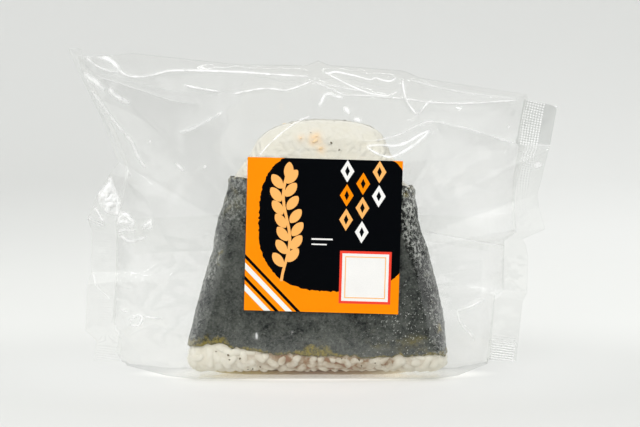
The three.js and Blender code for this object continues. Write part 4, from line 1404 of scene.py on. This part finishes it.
def makeNori():
    n = noriSizes
    columns = n["columns"]
    middle = noriRing(np.array([30.0]), 0.0, columns)[0].T
    low, high = noriBottom(*middle), noriTop(*middle)
    share = np.linspace(0, 1, n["rows"])
    height = low[None, :] + (high - low)[None, :] * share[:, None]
    spread = np.linspace(4.0, 68.0, 160)
    ring = noriRing(spread, -n["outside"], columns)
    place = np.stack([pointsAt(height[:, k], spread, ring[:, k]) for k in range(columns)], 1)
    x, y = place[:, :, 0], place[:, :, 1]
    outer = np.stack([x, y, height], 2)
    across = np.roll(outer, -1, axis=1) - np.roll(outer, 1, axis=1)
    normal = units(np.cross(across, np.gradient(outer, axis=0)))
    girth = np.broadcast_to(np.arange(columns) / columns * 220.0, height.shape)
    # the grains beneath press through, and the sheet crinkles where it turns the edges
    press = layeredNoise(girth, height, 4.2, 33, 2)
    crinkle = layeredNoise(girth, height * 0.6, 1.7, 71, 2)
    turning = np.clip(1 - np.abs(np.abs(y) - 9.5) / 7.5, 0, 1)
    ragged = layeredNoise(girth + 3, height, 2.4, 57, 2)
    bump = n["bump"] * press + (0.05 + 0.16 * turning) * crinkle + 0.22 * turning * ragged
    hug = np.minimum(share, 1 - share)[:, None] * 40
    outer = outer + normal * (bump * np.clip(0.4 + hug, 0, 1))[:, :, None]
    outer[:, :, 1] = np.clip(outer[:, :, 1], -n["mostHalf"], n["mostHalf"])
    piece = closedSheet("noriSheet", outer, outer - normal * n["thick"], makeNoriMaterial(), ring=True)
    # at the foot the sheet frays and shows olive, most at the left and by the middle
    deep = np.interp(x, *np.array(n["fringe"], float).T)
    nearFoot = np.clip(1.15 - (height - low[None, :]) / deep, 0, 1)
    nearTop = np.clip(1 - (high[None, :] - height) / 1.3, 0, 1) * 0.5
    olive = np.maximum(nearFoot, nearTop)
    for *spot, most in n["oliveSpots"]:
        olive = np.maximum(olive, most * spotAt(x, height, *spot) * (y < -2))
    addSheetValues(piece, "edgeNear", olive)
    # where the pale specks go: broad at the left, thin beyond the band at the right, and over both shoulders
    aside, edge = x - riceMiddle(height), riceHalfWidth(height)
    bandX = np.interp(height, *np.array(n["band"], float).T)
    torn = layeredNoise(girth + 9, height, 2.2, 93)
    left = np.clip((-aside - edge + 4.6 + 2.0 * torn) / 5.0, 0, 1)
    left = left * np.interp(height, (8, 20, 35, 50, 64), (0.6, 0.65, 0.9, 1, 0.9))
    left = np.maximum(left, 0.32 * np.clip((height - 45 + 3 * torn) / 5, 0, 1) * (aside < -18))
    right = np.clip((x - bandX + 0.8 + torn) / 1.2, 0, 1) * np.interp(height, (10, 18, 26), (0.35, 0.5, 1.0))
    top = np.clip((height - high[None, :] + 9) / 9, 0, 1) * np.clip((np.abs(aside) - 20) / 6, 0, 1) * 0.7
    addSheetValues(piece, "sideNear", np.maximum(np.maximum(left, right * (x > 20)), top))
    # painted glints: where the bright flecks go
    addSheetValues(piece, "glintNear", np.clip((x - 14) / 16, 0, 1) * np.clip((34 - height) / 10, 0, 1))
    band = np.exp(-(((x - bandX - 0.4 + 0.7 * torn) / 1.3) ** 4)) * np.clip((height - 22) / 4, 0, 1)
    band = band * np.clip((47 - height) / 4, 0, 1)
    for spot in n["spots"]:
        band = np.maximum(band, spotAt(x, height, *spot))
    addSheetValues(piece, "bandNear", band * (y < -2))
    return piece


# ---- flakes and crumbs ----

def flakeShape(draws, size, flat, rings=7, sides=12):
    # a small torn shred: a smooth lump, longer than wide, pushed about
    points = [(0, 0, -1)]
    for k in range(1, rings):
        t = math.pi * k / rings
        for j in range(sides):
            a = 2 * math.pi * j / sides
            points.append((math.sin(t) * math.cos(a), math.sin(t) * math.sin(a), -math.cos(t)))
    points = np.array(points + [(0, 0, 1)])
    shift = draws.uniform(0, 40)
    push = layeredNoise(points[:, 0] + shift, points[:, 1] + points[:, 2] * 0.5 + shift, 0.9, 31)
    points = points * (1 + 0.38 * push)[:, None]
    return points * size * np.array([1.15, draws.uniform(0.45, 0.8), flat]), lumpFaces(rings, sides)


def makeFlakes(name, spots, flat, seed, sunk, material):
    # spots hold the place, the way it faces and the flake's size
    draws = np.random.default_rng(seed)
    points, faces = [], []
    for *spot, size in spots:
        place, out = np.array(spot[:3]), Vector(spot[3:]).normalized()
        shape, flakeFaces = flakeShape(draws, size, flat)
        turn = np.array(out.to_track_quat("Z", "Y").to_matrix())
        roll = draws.uniform(0, 2 * math.pi)
        c, s = math.cos(roll), math.sin(roll)
        rolled = shape @ np.array([[c, s, 0], [-s, c, 0], [0, 0, 1]])
        faces += [[v + len(points) * len(shape) for v in face] for face in flakeFaces]
        points.append(rolled @ turn.T + place - np.array(out) * sunk * size)
    cloud = np.vstack(points)
    cloud[:, 2] = np.maximum(cloud[:, 2], crumbSizes["lowest"])
    cloud[:, 1] = np.clip(cloud[:, 1], -crumbSizes["mostHalf"], crumbSizes["mostHalf"])
    return addPiece(name, cloud, faces, material)


def makeSpeckMaterial(name, dark, pale, rough):
    material, tree = newMaterial(name)
    tone = addMottle(tree, 300.0, 1500.0, 0.5)
    addSkin(tree, addMix(tree, tone, dark, pale), rough, 0.5,
            {"Normal": addBump(tree, tone, 0.5, 0.0002)})
    return material


crumbSizes = {
    "lowest": 0.25,
    "mostHalf": 16.3,  # they stay inside the film
    "weedShare": 0.75,  # how large the seaweed crumbs are against their spots
    "behind": 12.0,  # how far apart those lie that the front doesn't show
}

crumbSpots = {
    "salmonFront": [(0.6, 75.2, 0.8), (0.9, 76.8, 0.4), (2.4, 72.7, 0.5), (-4.1, 76.0, 0.3)],
    "seaweedFront": [(5.7, 74.5, 0.45), (8.2, 72.2, 0.4), (-0.8, 77.7, 0.3), (-27.3, 6.4, 0.5),
                     (-26.9, 4.9, 0.45), (-23.6, 5.3, 0.45), (-17.1, 2.6, 0.4), (-31.2, 7.5, 0.35),
                     (14.6, 4.8, 0.45), (15.4, 3.0, 0.45), (19.8, 3.8, 0.35), (-19.5, 1.9, 0.4),
                     (-21.0, 1.8, 0.35), (9.0, 5.2, 0.3)],
}


def frontSpot(x, z):
    # a spot on the rice's front surface, given as seen, and the way it faces there
    under = packSizes["filmGap"] + 0.5
    fx, fz = (float(v[0]) for v in ontoFront(x, z, under))
    half, _, _ = filmForm(np.array([fx, fx + 0.5, fx]), np.array([fz, fz, fz + 0.5]))
    out = Vector((-(half[1] - half[0]) / 0.5, -1.0, -(half[2] - half[0]) / 0.5)).normalized()
    return (fx, -(half[0] - under), fz, *out)


def makeCrumbs(bare, faces):
    salmonSpots = [(*frontSpot(x, z), size) for x, z, size in crumbSpots["salmonFront"]]
    weedShare = crumbSizes["weedShare"]
    weedSpots = [(*frontSpot(x, z), size * weedShare) for x, z, size in crumbSpots["seaweedFront"]]

    def behind(p):
        return (p[:, 1] > -6) & ((p[:, 2] < 6) | (p[:, 2] > 66))

    spots, outs = scatterOn(bare, faces, crumbSizes["behind"], behind, 77)
    draws = np.random.default_rng(3)
    for i, spot in enumerate(np.hstack([spots, outs])):
        if i % 3 == 0:
            salmonSpots.append((*spot, draws.uniform(0.6, 1.2)))
        else:
            weedSpots.append((*spot, draws.uniform(0.3, 0.5)))
    flesh = makeSpeckMaterial("salmonFlesh", (0.88, 0.58, 0.27), (0.86, 0.68, 0.42), 0.8)
    crumb = makeSpeckMaterial("seaweedCrumb", (0.05, 0.045, 0.015), (0.16, 0.11, 0.04), 0.6)
    return (makeFlakes("salmonFlakes", salmonSpots, 0.22, 9, 0.2, flesh),
            makeFlakes("seaweedCrumbs", weedSpots, 0.4, 15, 0.0, crumb))


# ---- label ----

labelSizes = {
    "width": 48.4,
    "height": 48.2,
    "middle": (3.1, 46.4),  # x, z
    "turn": 1.6,  # degrees clockwise
    "front": 16.98,
    "thick": 0.16,
    "filmHalf": 16.5,  # half the film's thickness behind the label
    "falls": (0.55, 0.5, 12),  # how steeply the film leaves it, and how much more beyond this distance
}

labelInks = {
    "orange": (0.98, 0.27, 0.003),
    "dark": (0.0022, 0.0027, 0.0036),
    "white": (0.87, 0.86, 0.84),
    "red": (0.86, 0.06, 0.035),
    "peach": (0.98, 0.47, 0.14),
    "paper": (0.80, 0.80, 0.78),
}


def blockOutline():
    # a big dark brushed block with rounded corners and a slightly rough edge
    cx, cz, rx, rz, power = 28.3, 29.2, 24.4, 22.6, 2.7
    count = 260
    turns = np.arange(count) / count * 2 * math.pi
    flat = turns * 0
    rough = 0.22 * latticeNoise(turns * 40, flat, 1.0, 2) + 0.14 * latticeNoise(turns * 90, flat, 1.0, 6)
    c, s = np.cos(turns), np.sin(turns)
    reach = (np.abs(c) ** power + np.abs(s) ** power) ** (-1 / power) + rough / 21
    return np.stack([cx + rx * reach * c, cz + rz * reach * s], 1)


def leafOutline(x, z, length, width, degrees, count=22):
    t = np.arange(count) / count * 2 * math.pi
    u, v = 0.5 * np.cos(t), 0.5 * np.sin(t) * np.abs(np.sin(t)) ** 0.35
    a = math.radians(degrees)
    return np.stack([x + (u * math.cos(a)) * length - v * math.sin(a) * width,
                     z + (u * math.sin(a)) * length + v * math.cos(a) * width], 1)


def rectOutline(x0, z0, x1, z1):
    return np.array([(x0, z0), (x1, z0), (x1, z1), (x0, z1)])


def lozenge(x, z, rx, rz):
    return np.array([(x - rx, z), (x, z - rz), (x + rx, z), (x, z + rz)])


def labelShapes():
    # outline and ink of each printed field, the later ones over the earlier
    w, h = labelSizes["width"], labelSizes["height"]
    shapes = [("dark", blockOutline())]
    # a bare white panel with a red edge
    shapes += [("red", rectOutline(29.6, 3.0, 45.8, 19.6)), ("white", rectOutline(30.4, 3.8, 45.0, 18.8)),
               ("peach", rectOutline(31.3, 4.7, 44.1, 17.9)), ("white", rectOutline(31.6, 5.0, 43.8, 17.6))]
    # slanting stripes in the corner beside it
    for k, ink in enumerate(("white", "dark", "white", "dark")):
        near, far = 6.2 + k * 3.4, 6.2 + k * 3.4 + (2.1 if ink == "white" else 1.3)
        shapes.append((ink, np.array([(0.0, near), (near, 0.0), (far, 0.0), (0.0, far)])))
    # hanging lozenges, three columns that step down
    for column, x in enumerate((31.2, 36.2, 41.2)):
        for row in range(3 - column // 2):
            z = 44.6 - row * 7.6 - (column % 2) * 3.8
            ink = ("white", "orange", "peach")[(row + column) % 3]
            shapes.append((ink, lozenge(x, z, 2.15, 3.5)))
            shapes.append(("dark", lozenge(x, z, 0.75, 1.6)))
    # a sprig with its grains
    for k in range(7):
        z = 15.2 + k * 4.1
        lean = 12.6 + 1.2 * math.sin(k * 0.9)
        shapes.append(("peach", leafOutline(lean - 2.3, z + 1.0, 5.4, 3.0, 128)))
        shapes.append(("peach", leafOutline(lean + 2.3, z + 2.6, 5.4, 3.0, 52)))
    shapes.append(("peach", leafOutline(12.9, 44.2, 5.6, 3.0, 86)))
    stem = np.array([(12.6 + 1.2 * math.sin((z - 15.2) / 4.1 * 0.9), z) for z in np.linspace(9.5, 43, 18)])
    shapes.append(("peach", np.vstack([stem + (0.45, 0), stem[::-1] - (0.45, 0)])))
    # two fine rules
    shapes += [("white", rectOutline(20.6, 22.8, 27.2, 23.3)), ("white", rectOutline(20.6, 21.2, 25.4, 21.6))]
    return [(ink, np.clip(outline, 0, (w, h))) for ink, outline in shapes]


def makeInkMaterial(name, colour):
    material, tree = newMaterial(name)
    values = {"Ink": (*colour, 1), "Amount": 0.10}
    grain = addNode(tree, "ShaderNodeGroup", values, node_tree=inkGrainGroup).outputs
    bump = addBump(tree, grain["Height"], 0.15, 0.00005)
    addSkin(tree, grain["Color"], grain["Roughness"], 0.01, {"Normal": bump})
    return material


def makeLabel():
    l = labelSizes
    w, h = l["width"], l["height"]
    shapes = labelShapes()
    corners = [(0, 0), (w, 0), (w, h), (0, h)]
    sheet = np.vstack([resampled(side, 1.6)[:-1] for side in zip(corners, corners[1:] + corners[:1])])
    points, loops = sheet.tolist(), [list(range(len(sheet)))]
    for _, outline in shapes:
        loops.append(list(range(len(points), len(points) + len(outline))))
        points += outline.tolist()
    points += itertools.product(np.arange(1.6, w - 1, 1.9), np.arange(1.6, h - 1, 1.9))
    found = delaunay_2d_cdt([Vector(p) for p in points], [], loops, 1, 1e-4, True)
    flat, triangles = np.array([tuple(v) for v in found[0]]), [list(f) for f in found[2]]
    # each triangle takes the ink of the last field that covers it
    inks = ["paper", "orange", "dark", "white", "red", "peach"]
    fields = ["orange"] + [ink for ink, _ in shapes]
    slots = [inks.index(fields[max(owners, default=0)]) for owners in found[5]]
    turn = math.radians(l["turn"])
    u, v = flat[:, 0] - w / 2, flat[:, 1] - h / 2
    x = l["middle"][0] + u * math.cos(turn) + v * math.sin(turn)
    z = l["middle"][1] - u * math.sin(turn) + v * math.cos(turn)
    # it follows the film a little, and its corners lift
    corner = np.clip((np.abs(u) - 19) / 5.3, 0, 1) * np.clip((np.abs(v) - 19) / 5.6, 0, 1)
    y = -(l["front"] + 0.06 * latticeNoise(u, v, 14.0, 13) + 0.16 * corner)
    front = np.stack([x, y, z], 1)
    rear = front + np.array([0, l["thick"], 0])
    # the plate's cut edge goes round the sides that only one triangle has
    count = len(front)
    sides = [(a, b) for t in triangles for a, b in zip(t, t[1:] + t[:1])]
    cut = [[b, a, a + count, b + count] for a, b in sides if (b, a) not in set(sides)]
    faces = triangles + [[i + count for i in reversed(t)] for t in triangles] + cut
    piece = addPiece("printedLabel", np.vstack([front, rear]), faces, smooth=False)
    for ink in inks:
        piece.data.materials.append(makeInkMaterial("label" + ink.capitalize(), labelInks[ink]))
    slots += [inks.index("paper")] * (len(faces) - len(slots))
    piece.data.polygons.foreach_set("material_index", np.array(slots, np.int32))
    return piece


# ---- stage, lights and camera ----

stageSizes = {
    # painted light: these tones are brighter behind the pack and to the right, as light falls on the sweep
    "floorTone": (0.675, 0.68, 0.668),
    "middleTone": (0.758, 0.763, 0.748),
    "middleRight": (0.815, 0.82, 0.808),
    "leftTone": (0.735, 0.74, 0.728),
    "rightTone": (0.85, 0.855, 0.845),
    "wallTone": (0.765, 0.77, 0.76),
    "below": 0.0001,  # just under the film, so that the two don't share a plane
    "lit": 0.3,
    "glow": (0.53, 0.16),  # painted glow for light that reaches the floor through the ball's foot, and farther out
    "front": -1.4,
    "bendAt": 0.75,
    "bendRadius": 0.7,
    "height": 2.2,
    "width": 4.0,
}


def makeStage():
    s = stageSizes
    profile = [(s["front"], -s["below"]), (0.0, -s["below"]), (s["bendAt"], -s["below"])]
    for k in range(1, 25):
        t = math.pi / 2 * k / 24
        profile.append((s["bendAt"] + s["bendRadius"] * math.sin(t), s["bendRadius"] * (1 - math.cos(t))))
    profile.append((s["bendAt"] + s["bendRadius"], s["height"]))
    points = np.array([(x, *place) for x in (-s["width"] / 2, s["width"] / 2) for place in profile])
    n = len(profile)
    faces = [[k, n + k, n + k + 1, k + 1] for k in range(n - 1)]
    material, tree = newMaterial("palePaper")
    sweep = addPiece("paleSweep", points / metresPerMm, faces, material)
    place, split = readPlace(tree)
    # painted light: a little brighter behind the pack, and from left to right, as light falls on the sweep
    deep, aside = split["Y"], addRange(tree, split["X"], -0.2, 0.2, 0, 1, True)
    tone = addMix(tree, addRange(tree, deep, -0.02, 0.12, 0, 1, True), s["floorTone"],
                  addMix(tree, aside, s["middleTone"], s["middleRight"]))
    tone = addMix(tree, addRange(tree, deep, 0.18, 0.5, 0, 1, True), tone,
                  addMix(tree, aside, s["leftTone"], s["rightTone"]))
    tone = addMix(tree, addRange(tree, deep, 0.7, 1.2, 0, 1, True), tone, s["wallTone"])

    def around(across, near, far, most):
        # a value that fades out round the foot, as an oval
        flat = addVectorMath(tree, "MULTIPLY", first=place, second=(across, 1.0, 0.0)).outputs[0]
        away = addVectorMath(tree, "LENGTH", first=flat).outputs["Value"]
        return addRange(tree, away, near, far, most, 0, True)

    # painted light: paler round the foot, where the ball keeps some light away
    tone = addMix(tree, around(0.55, 0.012, 0.075, s["lit"]), tone, (1.0, 1.0, 1.0))
    # painted glow: the floor emits light round the foot
    glow = total(tree, around(0.25, 0.0085, 0.0155, s["glow"][0]), around(0.9, 0.012, 0.050, s["glow"][1]))
    # the film's flat front mirrors the floor before it, which would veil the food; so that floor is painted
    # dark for reflected rays
    glossy = addNode(tree, "ShaderNodeLightPath").outputs["Is Glossy Ray"]
    before = product(tree, addRange(tree, deep, -0.13, -0.07, 1, 0, True), glossy)
    tone = addMix(tree, before, tone, (0.05, 0.05, 0.055))
    addSkin(tree, tone, 0.9, 0.1, {"Emission Color": (1.0, 0.99, 0.95, 1), "Emission Strength": glow})


lightSizes = {
    # name: place, aimed at, width, height, radiance; the soft ones light, the thin ones
    # only give the film its glints
    "softFront": ((-0.3, -0.9, 0.7), (0, 0, 0.05), 1.0, 0.8, 2.5, "soft"),
    "softTop": ((0.05, 0.1, 1.1), (0, 0.05, 0.0), 0.8, 0.7, 0.9, "soft"),
    "glintTop": ((0.0, -0.10, 1.08), (0, 0, 0.06), 0.8, 0.03, 6.0, "glint"),
    "glintUpperLeft": ((-0.75, -0.12, 0.78), (0, 0, 0.06), 0.03, 0.7, 6.0, "glint"),
    "glintUpperRight": ((0.75, -0.12, 0.78), (0, 0, 0.06), 0.03, 0.7, 5.0, "glint"),
    "glintLeft": ((-1.03, -0.10, 0.22), (0, 0, 0.05), 0.03, 0.5, 5.0, "glint"),
    "glintRight": ((1.03, -0.10, 0.24), (0, 0, 0.05), 0.03, 0.5, 4.0, "glint"),
    "glintFront": ((0.22, -0.75, 0.62), (0, 0, 0.06), 0.03, 0.03, 10.0, "glint"),
}


def makeLights():
    for name, (place, target, width, height, radiance, kind) in lightSizes.items():
        data = bpy.data.lights.new(name, "AREA")
        data.shape = "RECTANGLE"
        data.size, data.size_y = width, height
        data.energy = radiance * math.pi * width * height
        lamp = bpy.data.objects.new(name, data)
        lamp.location = place
        lamp.rotation_euler = (Vector(target) - Vector(place)).to_track_quat("-Z", "Y").to_euler()
        lamp.visible_glossy = kind == "glint"
        lamp.visible_diffuse = kind == "soft"
        bpy.context.scene.collection.objects.link(lamp)
    world = bpy.data.worlds.new("softStudio")
    bpy.context.scene.world = world
    world.use_nodes = True
    tree = world.node_tree
    tree.nodes.clear()
    place, split = readPlace(tree, "Generated")
    up = addRange(tree, split["Z"], -0.1, 0.9, 0, 1, True)
    patches = addRange(tree, addNoise(tree, place, 1.6, 2.0, 0.6), 0.35, 0.65, 0, 1, True)
    low = addMix(tree, patches, (0.74, 0.745, 0.735), (0.98, 0.985, 0.97))
    high = addMix(tree, patches, (0.93, 0.935, 0.92), (1.16, 1.17, 1.15))
    # behind the viewer it is dark, so that the flat front stays clear
    unseen = addMath(tree, "SUBTRACT", 1.0, addNode(tree, "ShaderNodeLightPath").outputs["Is Camera Ray"])
    card = product(tree, addRange(tree, product(tree, split["Y"], -1.0), 0.74, 0.93, 0, 0.9, True), unseen)
    room = addMix(tree, card, addMix(tree, up, low, high), (0.05, 0.05, 0.055))
    background = addNode(tree, "ShaderNodeBackground", {0: room, "Strength": 1.0}).outputs[0]
    addNode(tree, "ShaderNodeOutputWorld", {0: background})


def makeCamera():
    v = viewSizes
    data = bpy.data.cameras.new("viewCamera")
    data.lens = v["lens"]
    data.sensor_width = v["sensor"]
    data.clip_start, data.clip_end = 0.01, 20
    camera = bpy.data.objects.new("viewCamera", data)
    rise = math.radians(v["rise"])
    aim = Vector(v["aim"]) * metresPerMm
    camera.location = aim + v["away"] * metresPerMm * Vector((0, -math.cos(rise), math.sin(rise)))
    camera.rotation_euler = (aim - camera.location).to_track_quat("-Z", "Y").to_euler()
    bpy.context.scene.collection.objects.link(camera)
    bpy.context.scene.camera = camera


# ---- put together ----

scene = bpy.context.scene
scene.view_settings.view_transform = "Standard"
scene.cycles.transparent_max_bounces = 32
scene.cycles.max_bounces = 10
scene.cycles.caustics_reflective = False
scene.cycles.caustics_refractive = False

makeCamera()
makeStage()
makeLights()
print("stage, lights and camera are up")

film = makeFilm()
print("film:", len(film.data.polygons), "faces")
crimpSkin = makeFilmMaterial("crimpedFilm", 300.0, 0.0002, 0.85, welded=True)
rightCrimp, leftCrimp = (makeCrimp(name, crimpSkin) for name in crimpSides)
backFin = makeFin()
print("seals and fin:", len(rightCrimp.data.polygons) + len(leftCrimp.data.polygons), "faces")

core, grains, bareSkin, bareFaces = makeRice()
juice = makeJuice()
nori = makeNori()
salmon, crumbs = makeCrumbs(bareSkin, bareFaces)
label = makeLabel()
print("label:", len(label.data.polygons), "faces")

filmPieces = (film, rightCrimp, leftCrimp, backFin)
ricePieces = (core, grains, juice, salmon)
noriPieces = (nori, crumbs)
for slot, pieces in (("film", filmPieces), ("rice", ricePieces), ("nori", noriPieces)):
    for piece in pieces:
        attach(piece, "root")
        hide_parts("film_pack")
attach(label, "root")
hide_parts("label")

print("every piece rides on the pack")
